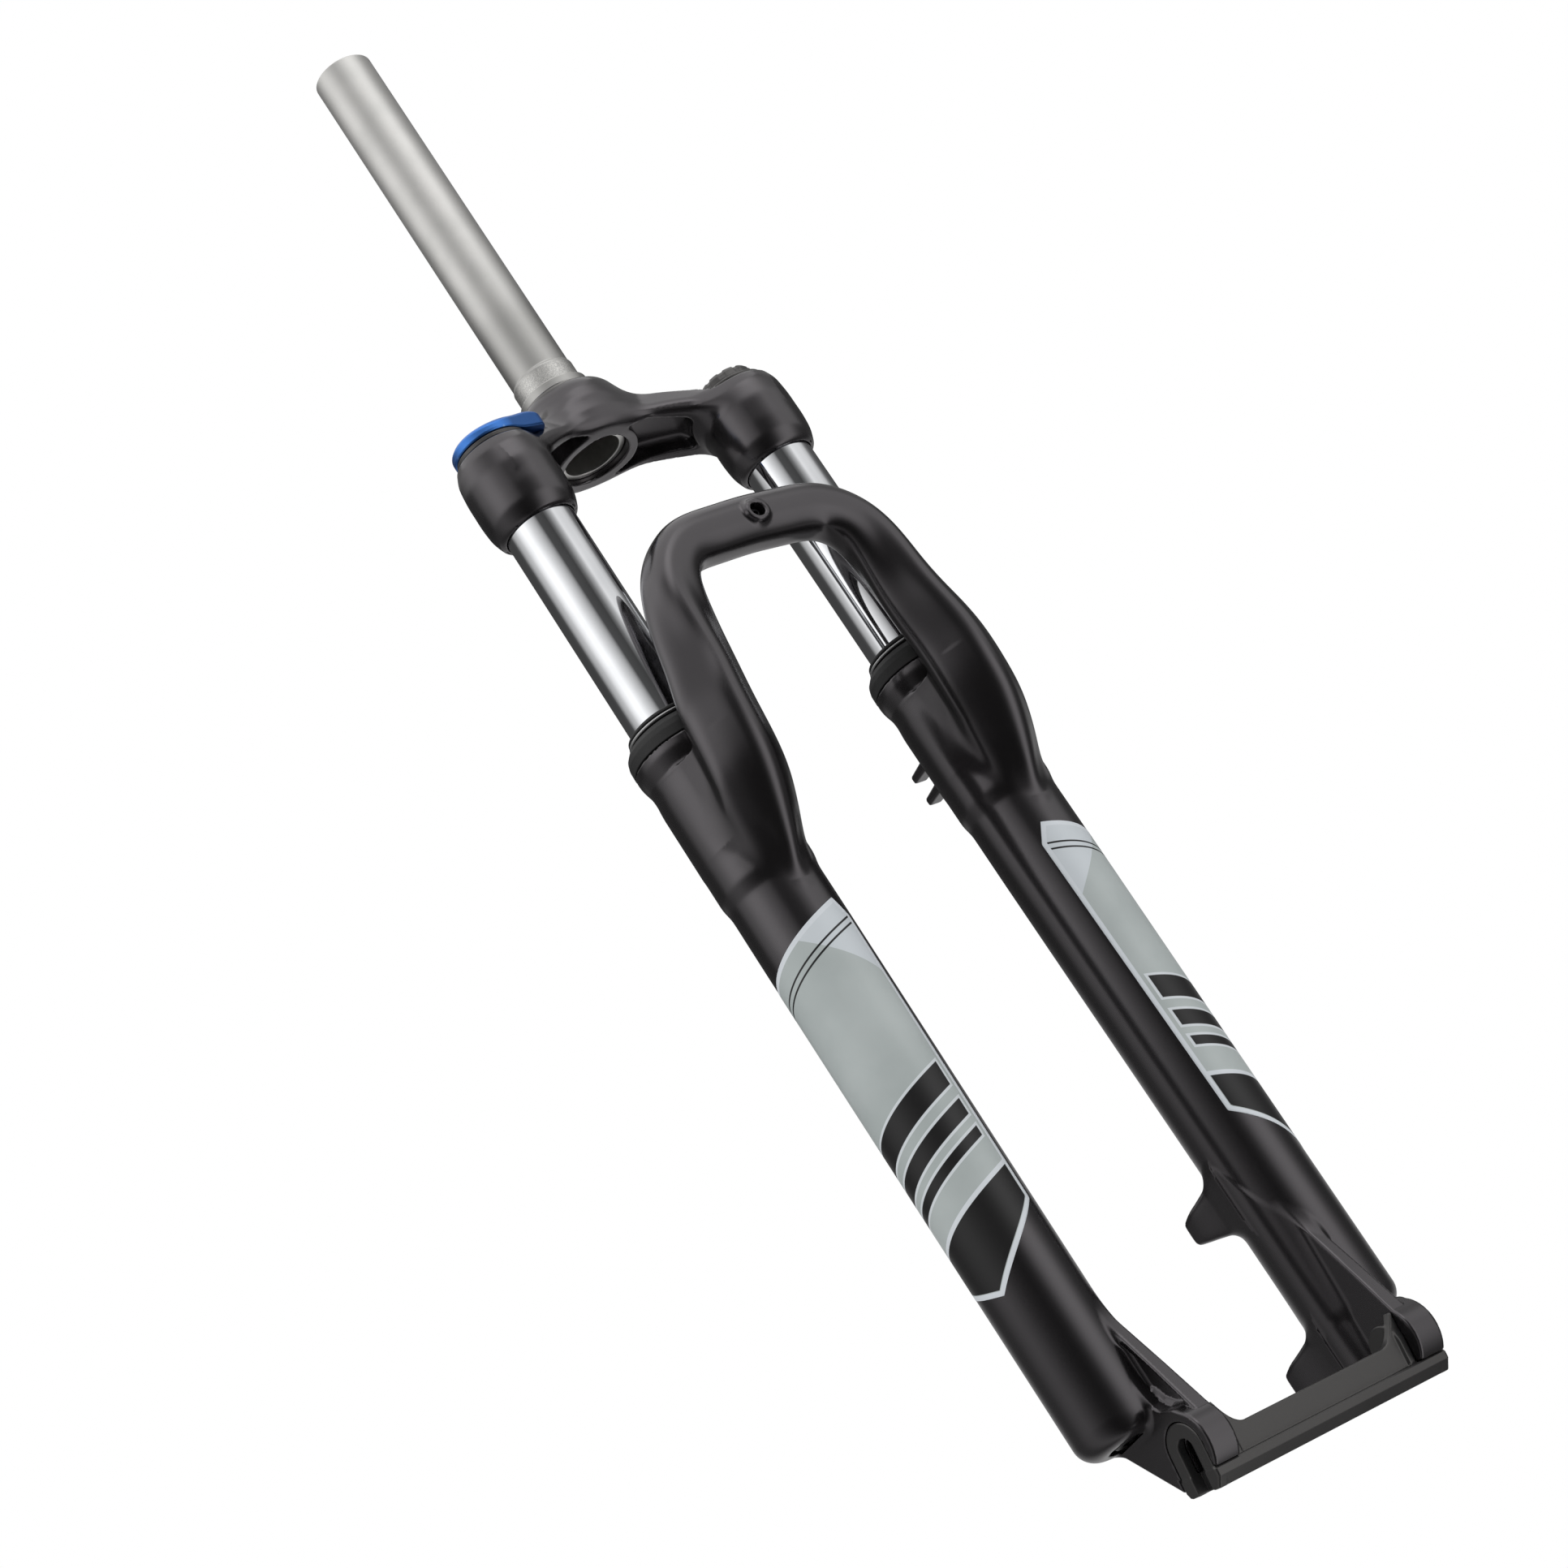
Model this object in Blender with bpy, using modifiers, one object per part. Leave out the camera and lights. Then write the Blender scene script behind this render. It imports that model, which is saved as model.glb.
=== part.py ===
# Bicycle suspension fork: a steerer and crown carry two stanchions, and a one-piece casting slides on them.
# The left leg holds a coil spring with a preload knob, the right leg a damper with a lockout lever.
# Frame: origin on the steering axis at the crown race seat, +Z up the steerer, -Y forwards, +X rider's left.

import math

import bmesh
import bpy
from mathutils import Matrix, Vector

MM = 0.001

# Driving dimensions, in millimetres until a shape is made
STEERER_DIAMETER = 28.6
STEERER_BORE = 25.4
STEERER_LENGTH = 198.0          # above the crown race seat
RACE_SEAT_DIAMETER = 30.0
RACE_SHOULDER = 16.8            # radius of the steel ring under the crown race
CROWN_TOP = -4.5
CROWN_UNDERSIDE = -35.0         # where the steerer ends
LEG_X = 65.0                    # half the distance between the stanchions
LEG_Y = -26.0                   # stanchions sit ahead of the steerer
STANCHION_DIAMETER = 32.0
STANCHION_BORE = 28.0
SOCKET_TOP = -39.0
SOCKET_BOTTOM = -80.0
STANCHION_TOP = -44.6
STANCHION_END = -375.0
SEAL_TOP = -185.0
CASTING_TOP = -200.3
LEG_STEP = -270.0               # where the upper leg narrows
LEG_END = -536.5
LEG_FLOOR = -512.0              # inside, where the rods stand
LEG_BORE = 36.0
AXLE_Y = -51.0                  # fork offset
AXLE_Z = -553.0                 # axle to crown
HUB_WIDTH = 100.0
DROPOUT_THICKNESS = 12.0
DROPOUT_RADIUS = 16.5
AXLE_SLOT = 9.2
SLOT_TILT = math.radians(12.0)  # the slot's mouth leans back
ARCH_Y = -62.0
ARCH_Z = -126.0
POST_SPACING = 74.2
POST_X = 50.0
POST_Y = 7.5
POST_UPPER_Z = -465.0
HOSE_GUIDE_Z = -230.0
SPRING_DIAMETER = 26.0
SPRING_WIRE = 4.2
SPRING_TURNS = 22
GAP = 0.3                       # left between pieces that touch

VISIBLE_STEPS = 28
HIDDEN_STEPS = 16
SIDES = {"right": -1, "left": 1}

STEERER_RADIUS = STEERER_DIAMETER / 2
STANCHION_RADIUS = STANCHION_DIAMETER / 2
BORE_RADIUS = STANCHION_BORE / 2
PLUG_RADIUS = BORE_RADIUS - GAP
LEG_BORE_RADIUS = LEG_BORE / 2
DROPOUT_INNER = HUB_WIDTH / 2
DROPOUT_OUTER = DROPOUT_INNER + DROPOUT_THICKNESS
SLOT_DOWN = Vector((0.0, math.sin(SLOT_TILT), -math.cos(SLOT_TILT)))
SLOT_BACK = Vector((0.0, math.cos(SLOT_TILT), math.sin(SLOT_TILT)))
AXLE = Vector((0.0, AXLE_Y, AXLE_Z))
LEFT = Vector((1.0, 0.0, 0.0))
BACK = Vector((0.0, 1.0, 0.0))
UP = Vector((0.0, 0.0, 1.0))

for old in list(bpy.data.objects):
    bpy.data.objects.remove(old, do_unlink=True)


def new_collection(name):
    group = bpy.data.collections.new(name)
    bpy.context.scene.collection.children.link(group)
    return group


PARTS = new_collection("suspension_fork")
CUTTERS = new_collection("cutters")


def new_material(name, colour, roughness, metallic):
    mat = bpy.data.materials.new(name)
    mat.use_nodes = True
    shader = mat.node_tree.nodes["Principled BSDF"]
    shader.inputs["Base Color"].default_value = (*colour, 1.0)
    shader.inputs["Roughness"].default_value = roughness
    shader.inputs["Metallic"].default_value = metallic
    return mat


BLACK_PAINT = new_material("black_paint", (0.020, 0.019, 0.021), 0.42, 0.0)
BLASTED_STEEL = new_material("blasted_steel", (0.56, 0.55, 0.53), 0.40, 1.0)
CHROME = new_material("chrome", (0.80, 0.81, 0.83), 0.06, 1.0)
BLUE_ANODISED = new_material("blue_anodised", (0.025, 0.10, 0.38), 0.30, 1.0)
BLACK_PLASTIC = new_material("black_plastic", (0.024, 0.024, 0.026), 0.50, 0.0)
RUBBER = new_material("rubber", (0.016, 0.016, 0.017), 0.65, 0.0)
STEEL = new_material("steel", (0.60, 0.60, 0.60), 0.28, 1.0)
ALUMINIUM = new_material("aluminium", (0.70, 0.70, 0.71), 0.32, 1.0)
BRONZE = new_material("bushing_bronze", (0.42, 0.30, 0.17), 0.45, 1.0)
WHITE_PLASTIC = new_material("white_plastic", (0.72, 0.72, 0.68), 0.45, 0.0)
ELASTOMER = new_material("elastomer", (0.30, 0.27, 0.05), 0.70, 0.0)


def add_part(name, mesh, mat, location=(0.0, 0.0, 0.0)):
    part = bpy.data.objects.new(name, mesh)
    part.location = Vector(location) * MM
    if mat is None:
        CUTTERS.objects.link(part)
        part.hide_render = True
        part.display_type = "WIRE"
    else:
        mesh.materials.append(mat)
        PARTS.objects.link(part)
    return part


def leg_axis(side):
    return (side * LEG_X, LEG_Y, 0.0)


# Modelling helpers: every length given to them is in millimetres


def turned(name, profile, mat, location=(0.0, 0.0, 0.0), steps=HIDDEN_STEPS):
    """A revolved piece: the profile of (radius, z) runs down the outside and back up the inside."""
    mesh = bpy.data.meshes.new(name)
    points = [(r * MM, 0.0, z * MM) for r, z in profile]
    on_axis = profile[0][0] == 0 and profile[-1][0] == 0
    edges = [(i, i + 1) for i in range(len(points) - 1)]
    if not on_axis:
        edges.append((len(points) - 1, 0))
    mesh.from_pydata(points, edges, [])
    part = add_part(name, mesh, mat, location)
    screw = part.modifiers.new("turn", "SCREW")
    screw.axis = "Z"
    screw.angle = math.tau
    screw.steps = steps
    screw.render_steps = steps
    screw.use_merge_vertices = True
    screw.merge_threshold = 0.00001
    screw.use_smooth_shade = True
    return part


def combine(part, other, operation):
    change = part.modifiers.new(f"{operation.lower()} {other.name}", "BOOLEAN")
    change.object = other
    change.operation = operation
    change.solver = "EXACT"


def cut(part, *tools):
    for tool in tools:
        combine(part, tool, "DIFFERENCE")


def fuse(part, *others):
    for other in others:
        combine(part, other, "UNION")


def both_legs(name, profile):
    """One cutter with the same turned shape on the axis of each leg."""
    right = turned(f"{name}_right", profile, None, leg_axis(SIDES["right"]), VISIBLE_STEPS)
    fuse(right, turned(f"{name}_left", profile, None, leg_axis(SIDES["left"]), VISIBLE_STEPS))
    return right


def rounded_section(centre, across, up, half_across, half_up, squareness=2.6, count=20):
    """A ring of points on a rounded rectangle (a superellipse) about a centre."""
    ring = []
    for i in range(count):
        angle = math.tau * i / count
        c = math.cos(angle)
        s = math.sin(angle)
        u = math.copysign(abs(c) ** (2 / squareness), c) * half_across
        v = math.copysign(abs(s) ** (2 / squareness), s) * half_up
        ring.append(centre + across * u + up * v)
    return ring


def lofted(name, rings, mat):
    """A closed skin through rings that have the same number of points."""
    shape = bmesh.new()
    loops = [[shape.verts.new(p * MM) for p in ring] for ring in rings]
    count = len(rings[0])
    for lower, upper in zip(loops, loops[1:]):
        for i in range(count):
            j = (i + 1) % count
            shape.faces.new((lower[i], lower[j], upper[j], upper[i]))
    shape.faces.new(loops[0][::-1])
    shape.faces.new(loops[-1])
    bmesh.ops.recalc_face_normals(shape, faces=shape.faces)
    mesh = bpy.data.meshes.new(name)
    shape.to_mesh(mesh)
    shape.free()
    mesh.shade_smooth()
    mesh.set_sharp_from_angle(angle=math.radians(40))
    return add_part(name, mesh, mat)


def smooth_stations(stations, pieces):
    """Catmull-Rom points through stations of equal length."""
    result = []
    last = len(stations) - 1
    for i in range(last):
        p0, p1 = stations[max(i - 1, 0)], stations[i]
        p2, p3 = stations[i + 1], stations[min(i + 2, last)]
        for k in range(pieces):
            t = k / pieces
            blend = []
            for a, b, c, d in zip(p0, p1, p2, p3):
                blend.append(0.5 * (2 * b + (c - a) * t + (2 * a - 5 * b + 4 * c - d) * t**2
                                    + (3 * b - a - 3 * c + d) * t**3))
            result.append(tuple(blend))
    result.append(tuple(stations[last]))
    return result


def arc(centre, radius, start, end, count):
    """Points on an arc, from a start to an end angle in degrees."""
    points = []
    for i in range(count + 1):
        angle = math.radians(start + (end - start) * i / count)
        points.append((centre[0] + radius * math.cos(angle), centre[1] + radius * math.sin(angle)))
    return points


def plate(name, outline, x_low, x_high, mat, bevel=0.0):
    """A flat outline of (y, z) points, thick along X."""
    curve = bpy.data.curves.new(name, "CURVE")
    curve.dimensions = "2D"
    curve.fill_mode = "BOTH"
    curve.extrude = (x_high - x_low) / 2 * MM
    spline = curve.splines.new("POLY")
    spline.points.add(len(outline) - 1)
    for point, (y, z) in zip(spline.points, outline):
        point.co = (y * MM, z * MM, 0.0, 1.0)
    spline.use_cyclic_u = True
    drawn = bpy.data.objects.new(name + "_outline", curve)
    bpy.context.scene.collection.objects.link(drawn)
    bpy.context.view_layer.update()
    mesh = bpy.data.meshes.new_from_object(drawn.evaluated_get(bpy.context.evaluated_depsgraph_get()))
    bpy.data.objects.remove(drawn, do_unlink=True)
    shape = bmesh.new()
    shape.from_mesh(mesh)
    bmesh.ops.remove_doubles(shape, verts=shape.verts, dist=0.000001)
    bmesh.ops.recalc_face_normals(shape, faces=shape.faces)
    stand_up = Matrix(((0, 0, 1, 0), (1, 0, 0, 0), (0, 1, 0, 0), (0, 0, 0, 1)))
    shape.transform(Matrix.Translation(((x_low + x_high) / 2 * MM, 0, 0)) @ stand_up)
    shape.to_mesh(mesh)
    shape.free()
    mesh.name = name
    part = add_part(name, mesh, mat)
    if bevel:
        edge = part.modifiers.new("edges", "BEVEL")
        edge.width = bevel * MM
        edge.segments = 2
        edge.limit_method = "ANGLE"
        edge.angle_limit = math.radians(50)
    return part


def cylinder(name, centre, radius, half_length, along, mat, steps):
    """A round bar about a centre, along a direction."""
    shape = bmesh.new()
    bmesh.ops.create_cone(shape, cap_ends=True, segments=steps, radius1=radius * MM, radius2=radius * MM,
                          depth=2 * half_length * MM)
    turn = Vector((0, 0, 1)).rotation_difference(Vector(along)).to_matrix().to_4x4()
    shape.transform(Matrix.Translation(Vector(centre) * MM) @ turn)
    mesh = bpy.data.meshes.new(name)
    shape.to_mesh(mesh)
    shape.free()
    return add_part(name, mesh, mat)


def box(name, low, high, mat, bevel=0.0):
    shape = bmesh.new()
    bmesh.ops.create_cube(shape, size=1.0)
    low = Vector(low) * MM
    high = Vector(high) * MM
    size = high - low
    shape.transform(Matrix.Translation((low + high) / 2) @ Matrix.Diagonal((*size, 1.0)))
    if bevel:
        bmesh.ops.bevel(shape, geom=shape.edges[:], offset=bevel * MM, segments=2, affect="EDGES", profile=0.5)
    mesh = bpy.data.meshes.new(name)
    shape.to_mesh(mesh)
    shape.free()
    return add_part(name, mesh, mat)


# Steerer and crown

LEVER_SWEEP = 31.5              # the crown is dished under the lever's swing
LEVER_RELIEF_INNER = -36.6
LEVER_RELIEF_OUTER = -30.6


def make_steerer():
    lip_radius = STEERER_RADIUS + 2.2
    seat_radius = RACE_SEAT_DIAMETER / 2
    foot_bore = STEERER_BORE / 2 + 0.9
    turned("steerer_tube", [
        (STEERER_RADIUS - 0.5, STEERER_LENGTH),
        (STEERER_RADIUS, STEERER_LENGTH - 0.5),
        (STEERER_RADIUS, 10.5),
        (seat_radius, 9.5),
        (seat_radius, 0.0),
        (RACE_SHOULDER, 0.0),
        (RACE_SHOULDER, CROWN_TOP + GAP),
        (seat_radius, CROWN_TOP + GAP),
        (seat_radius, CROWN_UNDERSIDE + 5),
        (lip_radius, CROWN_UNDERSIDE + 5),
        (lip_radius, CROWN_UNDERSIDE + 0.8),
        (lip_radius - 0.8, CROWN_UNDERSIDE),
        (foot_bore, CROWN_UNDERSIDE),
        (foot_bore, -10.0),
        (STEERER_BORE / 2, 15.0),
        (STEERER_BORE / 2, STEERER_LENGTH),
    ], BLASTED_STEEL, steps=VISIBLE_STEPS)


# Crown stations along X: distance out, middle in Y, half depth, top and bottom height, how far the top leans
CROWN_STATIONS = (
    (0.0, 0.0, 22.0, -13.5, -34.4, 5.0),
    (16.0, -2.5, 20.5, -15.5, -35.6, 7.0),
    (32.0, -9.0, 18.0, -22.5, -41.0, 9.0),
    (48.0, -18.0, 16.5, -31.0, -49.5, 6.0),
    (LEG_X, LEG_Y, 14.5, -40.5, -58.0, 2.0),
)


def crown_rings(side=1, inset=0.0, first=0, last=None, deeper=0.0):
    """Sections of one arm, from the steerer out; the top leans forwards."""
    rings = []
    for x, y, depth, top, bottom, lean in smooth_stations(CROWN_STATIONS, 2)[first:last]:
        centre = Vector((side * x, y, (top - inset + bottom - deeper) / 2))
        height = (top - inset - bottom + deeper) / 2
        ring = rounded_section(centre, BACK, UP, depth - inset, height, 3.4, 18)
        for point in ring:
            forward = 0.5 - 0.5 * (point.y - y) / (depth - inset)
            above = max(point.z - centre.z, 0.0) / height
            point.z -= lean * forward * above
        rings.append(ring)
    return rings


def make_crown():
    bore = RACE_SEAT_DIAMETER / 2 + GAP
    lip_bore = STEERER_RADIUS + 2.2 + GAP
    start_bore = 6.0
    crown = turned("crown", [
        (17.4, CROWN_TOP),
        (20.4, -6.2),
        (22.6, -8.0),
        (24.4, -10.8),
        (25.4, -14.5),
        (25.8, -19.0),
        (25.2, -27.0),
        (22.8, CROWN_UNDERSIDE),
        (start_bore, CROWN_UNDERSIDE),
        (start_bore, CROWN_TOP),
    ], BLACK_PAINT, steps=VISIBLE_STEPS)
    arms = crown_rings(-1)[:0:-1] + crown_rings()
    fuse(crown, lofted("crown_arms", arms, None))
    for name, side in SIDES.items():
        socket = turned(f"socket_{name}", [
            (17.6, SOCKET_TOP),
            (18.8, SOCKET_TOP - 1.0),
            (20.4, SOCKET_TOP - 5.0),
            (21.2, SOCKET_TOP - 14.0),
            (21.2, SOCKET_BOTTOM + 14.0),
            (20.4, SOCKET_BOTTOM + 7.0),
            (18.6, SOCKET_BOTTOM + 2.4),
            (17.2, SOCKET_BOTTOM),
            (start_bore, SOCKET_BOTTOM),
            (start_bore, SOCKET_TOP),
        ], None, leg_axis(side), VISIBLE_STEPS)
        fuse(crown, socket)
    for name, side in SIDES.items():
        cut(crown, lofted(f"crown_pocket_{name}", crown_rings(side, 5.5, 3, 6, 12.0), None))
    steerer_bore = turned("steerer_bore", [
        (0.0, 5.0),
        (bore, 5.0),
        (bore, CROWN_UNDERSIDE + 5 + GAP),
        (lip_bore, CROWN_UNDERSIDE + 5 + GAP),
        (lip_bore, CROWN_UNDERSIDE - 5.0),
        (0.0, CROWN_UNDERSIDE - 5.0),
    ], None, steps=VISIBLE_STEPS)
    cut(crown, steerer_bore)
    shoulder = STANCHION_TOP + GAP
    spot_face = SOCKET_TOP - 0.1
    cut(crown, both_legs("stanchion_bore", [
        (0.0, SOCKET_TOP + 40.0),
        (LEVER_SWEEP, SOCKET_TOP + 40.0),
        (LEVER_SWEEP, LEVER_RELIEF_OUTER),
        (18.2, LEVER_RELIEF_INNER),
        (18.2, spot_face),
        (BORE_RADIUS + 0.5, spot_face),
        (BORE_RADIUS + 0.5, shoulder),
        (STANCHION_RADIUS + GAP, shoulder),
        (STANCHION_RADIUS + GAP, SOCKET_BOTTOM - 5.0),
        (0.0, SOCKET_BOTTOM - 5.0),
    ]))


def make_stanchions():
    for name, side in SIDES.items():
        turned(f"stanchion_{name}", [
            (STANCHION_RADIUS, STANCHION_TOP),
            (STANCHION_RADIUS, STANCHION_END + 1.0),
            (STANCHION_RADIUS - 1.0, STANCHION_END),
            (BORE_RADIUS, STANCHION_END),
            (BORE_RADIUS, STANCHION_TOP),
        ], CHROME, leg_axis(side), VISIBLE_STEPS)


# Damper side: lockout lever, its rod and valve plate, the cartridge, the rod and the piston

CAP_SEAT = SOCKET_TOP + GAP
LEVER_BASE = -36.2
LEVER_TOP = -30.4
LEVER_REACH = 30.0


def make_lockout():
    axis = leg_axis(SIDES["right"])
    turned("damper_top_cap", [
        (16.4, CAP_SEAT + 2.2),
        (16.8, CAP_SEAT + 1.8),
        (16.8, CAP_SEAT),
        (PLUG_RADIUS, CAP_SEAT),
        (PLUG_RADIUS, -58.0),
        (4.4, -58.0),
        (4.4, CAP_SEAT + 2.2),
    ], BLACK_PLASTIC, axis)
    lever = turned("lockout_lever", [
        (14.2, LEVER_TOP),
        (16.2, LEVER_TOP - 1.0),
        (17.0, LEVER_TOP - 2.4),
        (17.0, LEVER_BASE + 0.6),
        (16.4, LEVER_BASE),
        (2.6, LEVER_BASE),
        (2.6, LEVER_TOP - 1.6),
        (5.0, LEVER_TOP - 1.6),
        (5.0, LEVER_TOP),
    ], BLUE_ANODISED, axis, VISIBLE_STEPS)
    paddle = lofted("lever_paddle", paddle_rings(), None)
    paddle.location = Vector(axis) * MM
    fuse(lever, paddle)
    turned("lever_screw", [
        (0.0, LEVER_TOP + 0.6),
        (3.6, LEVER_TOP + 0.2),
        (4.4, LEVER_TOP - 0.5),
        (4.4, LEVER_TOP - 1.3),
        (2.2, LEVER_TOP - 1.3),
        (2.2, -46.0),
        (0.0, -46.6),
    ], STEEL, axis)
    rod = turned("lockout_control_rod", [
        (0.0, -50.0),
        (2.6, -49.0),
        (2.6, LEVER_BASE - GAP),
        (4.0, LEVER_BASE - GAP),
        (4.0, -74.0),
        (10.4, -74.0),
        (10.4, -80.0),
        (0.0, -80.0),
    ], ALUMINIUM, axis)
    for i in range(2):
        angle = math.pi * i
        port = (axis[0] + 7.2 * math.cos(angle), axis[1] + 7.2 * math.sin(angle), -77.0)
        cut(rod, cylinder(f"valve_port_{i}", port, 1.8, 6.0, (0, 0, 1), None, 10))


def paddle_rings():
    """Lever stations along X: distance, half width, under side and upper side."""
    stations = (
        (6.5, 6.0, -34.2, -29.6),
        (12.0, 8.8, -35.0, -27.8),
        (18.0, 9.6, -35.2, -26.2),
        (24.0, 9.0, -32.9, -25.3),
        (28.0, 7.2, -31.2, -25.2),
        (LEVER_REACH, 4.8, -29.8, -26.2),
    )
    rings = []
    for x, half_width, under, upper in smooth_stations(stations, 2):
        centre = Vector((x, 0.0, (under + upper) / 2))
        half_height = (upper - under) / 2
        rings.append(rounded_section(centre, BACK, UP, half_width, half_height, 3, 14))
    return rings


PISTON_TOP = -330.0
PISTON_HEIGHT = 15.0
GUIDE_TOP = -356.0


def make_damper():
    axis = leg_axis(SIDES["right"])
    cartridge_bore = 11.0
    turned("damper_cartridge", [
        (PLUG_RADIUS - 0.1, -61.0),
        (PLUG_RADIUS - 0.1, GUIDE_TOP + GAP),
        (cartridge_bore, GUIDE_TOP + GAP),
        (cartridge_bore, -61.0),
    ], ALUMINIUM, axis)
    turned("damper_rod_guide", [
        (PLUG_RADIUS, GUIDE_TOP),
        (PLUG_RADIUS, STANCHION_END),
        (5.4, STANCHION_END),
        (5.4, GUIDE_TOP),
    ], ALUMINIUM, axis)
    turned("damper_rod", [
        (0.0, PISTON_TOP + 3.0),
        (4.0, PISTON_TOP + 2.6),
        (4.0, PISTON_TOP - PISTON_HEIGHT - GAP),
        (5.0, PISTON_TOP - PISTON_HEIGHT - GAP),
        (5.0, -478.0),
        (8.0, -480.0),
        (8.0, LEG_FLOOR + GAP),
        (4.4, LEG_FLOOR + GAP),
        (4.4, -488.0),
        (0.0, -485.0),
    ], STEEL, axis)
    ring_groove = 0.8
    turned("damper_piston", [
        (cartridge_bore - 0.4, PISTON_TOP),
        (cartridge_bore - 0.4, PISTON_TOP - 5.0),
        (cartridge_bore - 0.4 - ring_groove, PISTON_TOP - 5.0),
        (cartridge_bore - 0.4 - ring_groove, PISTON_TOP - 10.0),
        (cartridge_bore - 0.4, PISTON_TOP - 10.0),
        (cartridge_bore - 0.4, PISTON_TOP - PISTON_HEIGHT),
        (4.4, PISTON_TOP - PISTON_HEIGHT),
        (4.4, PISTON_TOP),
    ], ALUMINIUM, axis)


# Spring side: preload knob, screw and plunger, the coil, and the rod that pushes it

PLUNGER_BASE = -95.0
SEAT_TOP = -339.3
SEAT_BASE = -345.0
KNOB_BASE = -36.6
KNOB_TOP = -30.8
KNOB_NOTCHES = 10


def make_preload():
    axis = leg_axis(SIDES["left"])
    turned("spring_top_cap", [
        (16.0, KNOB_BASE - GAP),
        (16.6, KNOB_BASE - 0.9),
        (16.6, CAP_SEAT),
        (PLUG_RADIUS, CAP_SEAT),
        (PLUG_RADIUS, -58.0),
        (4.4, -58.0),
        (4.4, KNOB_BASE - GAP),
    ], BLACK_PLASTIC, axis, VISIBLE_STEPS)
    knob = turned("preload_knob", [
        (0.0, KNOB_TOP - 0.8),
        (8.6, KNOB_TOP - 0.8),
        (9.4, KNOB_TOP),
        (11.8, KNOB_TOP - 0.5),
        (13.2, KNOB_TOP - 2.4),
        (13.6, KNOB_BASE),
        (4.4, KNOB_BASE),
        (4.4, KNOB_BASE + 3.0),
        (0.0, KNOB_BASE + 3.4),
    ], BLACK_PLASTIC, axis, 30)
    for i in range(KNOB_NOTCHES):
        angle = math.tau * (i + 0.5) / KNOB_NOTCHES
        notch = (axis[0] + 14.0 * math.cos(angle), axis[1] + 14.0 * math.sin(angle), KNOB_TOP - 1.5)
        cut(knob, cylinder(f"knob_notch_{i}", notch, 1.7, 3.2, (0, 0, 1), None, 8))
    turned("preload_screw", [
        (0.0, KNOB_BASE + 2.6),
        (4.0, KNOB_BASE + 2.6),
        (4.0, -82.0),
        (0.0, -83.5),
    ], STEEL, axis)
    turned("preload_plunger", [
        (0.0, -91.0),
        (4.4, -91.0),
        (4.4, -64.0),
        (PLUG_RADIUS - 0.1, -64.0),
        (PLUG_RADIUS - 0.1, PLUNGER_BASE),
        (0.0, PLUNGER_BASE),
    ], WHITE_PLASTIC, axis)


def make_spring():
    """The coil: one closed turn at each end and an even pitch between."""
    mean_radius = (SPRING_DIAMETER - SPRING_WIRE) / 2
    top = PLUNGER_BASE - GAP - SPRING_WIRE / 2
    bottom = SEAT_TOP + GAP + SPRING_WIRE / 2
    end_pitch = SPRING_WIRE + 0.7
    open_pitch = (top - bottom - 2 * end_pitch) / (SPRING_TURNS - 2)
    per_turn = 9
    points = []
    for i in range(SPRING_TURNS * per_turn + 1):
        turns = i / per_turn
        lower_end = min(turns, 1.0)
        upper_end = max(turns - (SPRING_TURNS - 1), 0.0)
        height = bottom + end_pitch * (lower_end + upper_end) + open_pitch * (turns - lower_end - upper_end)
        angle = math.tau * turns
        points.append(Vector((mean_radius * math.cos(angle), mean_radius * math.sin(angle), height)))
    least = min((a - b).length for i, a in enumerate(points) for b in points[i + per_turn // 2:])
    print(f"main_spring least gap to itself: {least - SPRING_WIRE:.2f} mm")
    curve = bpy.data.curves.new("main_spring", "CURVE")
    curve.dimensions = "3D"
    curve.bevel_depth = SPRING_WIRE / 2 * MM
    curve.bevel_resolution = 1
    curve.use_fill_caps = True
    spline = curve.splines.new("POLY")
    spline.points.add(len(points) - 1)
    for target, point in zip(spline.points, points):
        target.co = (*(point * MM), 1.0)
    spring = bpy.data.objects.new("main_spring", curve)
    spring.location = Vector(leg_axis(SIDES["left"])) * MM
    curve.materials.append(STEEL)
    PARTS.objects.link(spring)


def make_compression_rod():
    axis = leg_axis(SIDES["left"])
    spigot = (SPRING_DIAMETER - 2 * SPRING_WIRE) / 2 - 0.6
    turned("spring_seat", [
        (spigot - 2.0, SEAT_TOP + 16.0),
        (spigot, SEAT_TOP + 12.0),
        (spigot, SEAT_TOP),
        (PLUG_RADIUS - 0.4, SEAT_TOP),
        (PLUG_RADIUS - 0.4, SEAT_BASE),
        (4.2, SEAT_BASE),
        (4.2, SEAT_BASE - 9.0),
        (2.0, SEAT_BASE - 10.0),
        (2.0, SEAT_TOP + 16.0),
    ], BLACK_PLASTIC, axis)
    turned("compression_rod", [
        (8.0, SEAT_BASE - GAP),
        (8.0, LEG_FLOOR + GAP),
        (4.6, LEG_FLOOR + GAP),
        (4.6, SEAT_BASE - GAP),
    ], ALUMINIUM, axis)
    turned("spring_guide_plug", [
        (PLUG_RADIUS, -362.0),
        (PLUG_RADIUS, STANCHION_END),
        (8.4, STANCHION_END),
        (8.4, -362.0),
    ], BLACK_PLASTIC, axis)
    turned("topout_bumper", [
        (12.2, SEAT_BASE - 1.0),
        (13.0, SEAT_BASE - 5.0),
        (13.0, -361.7),
        (8.5, -361.7),
        (8.5, SEAT_BASE - 1.0),
    ], ELASTOMER, axis)


# Lower casting: two legs, the arch, the dropouts, the brake posts and the hose guides

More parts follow.
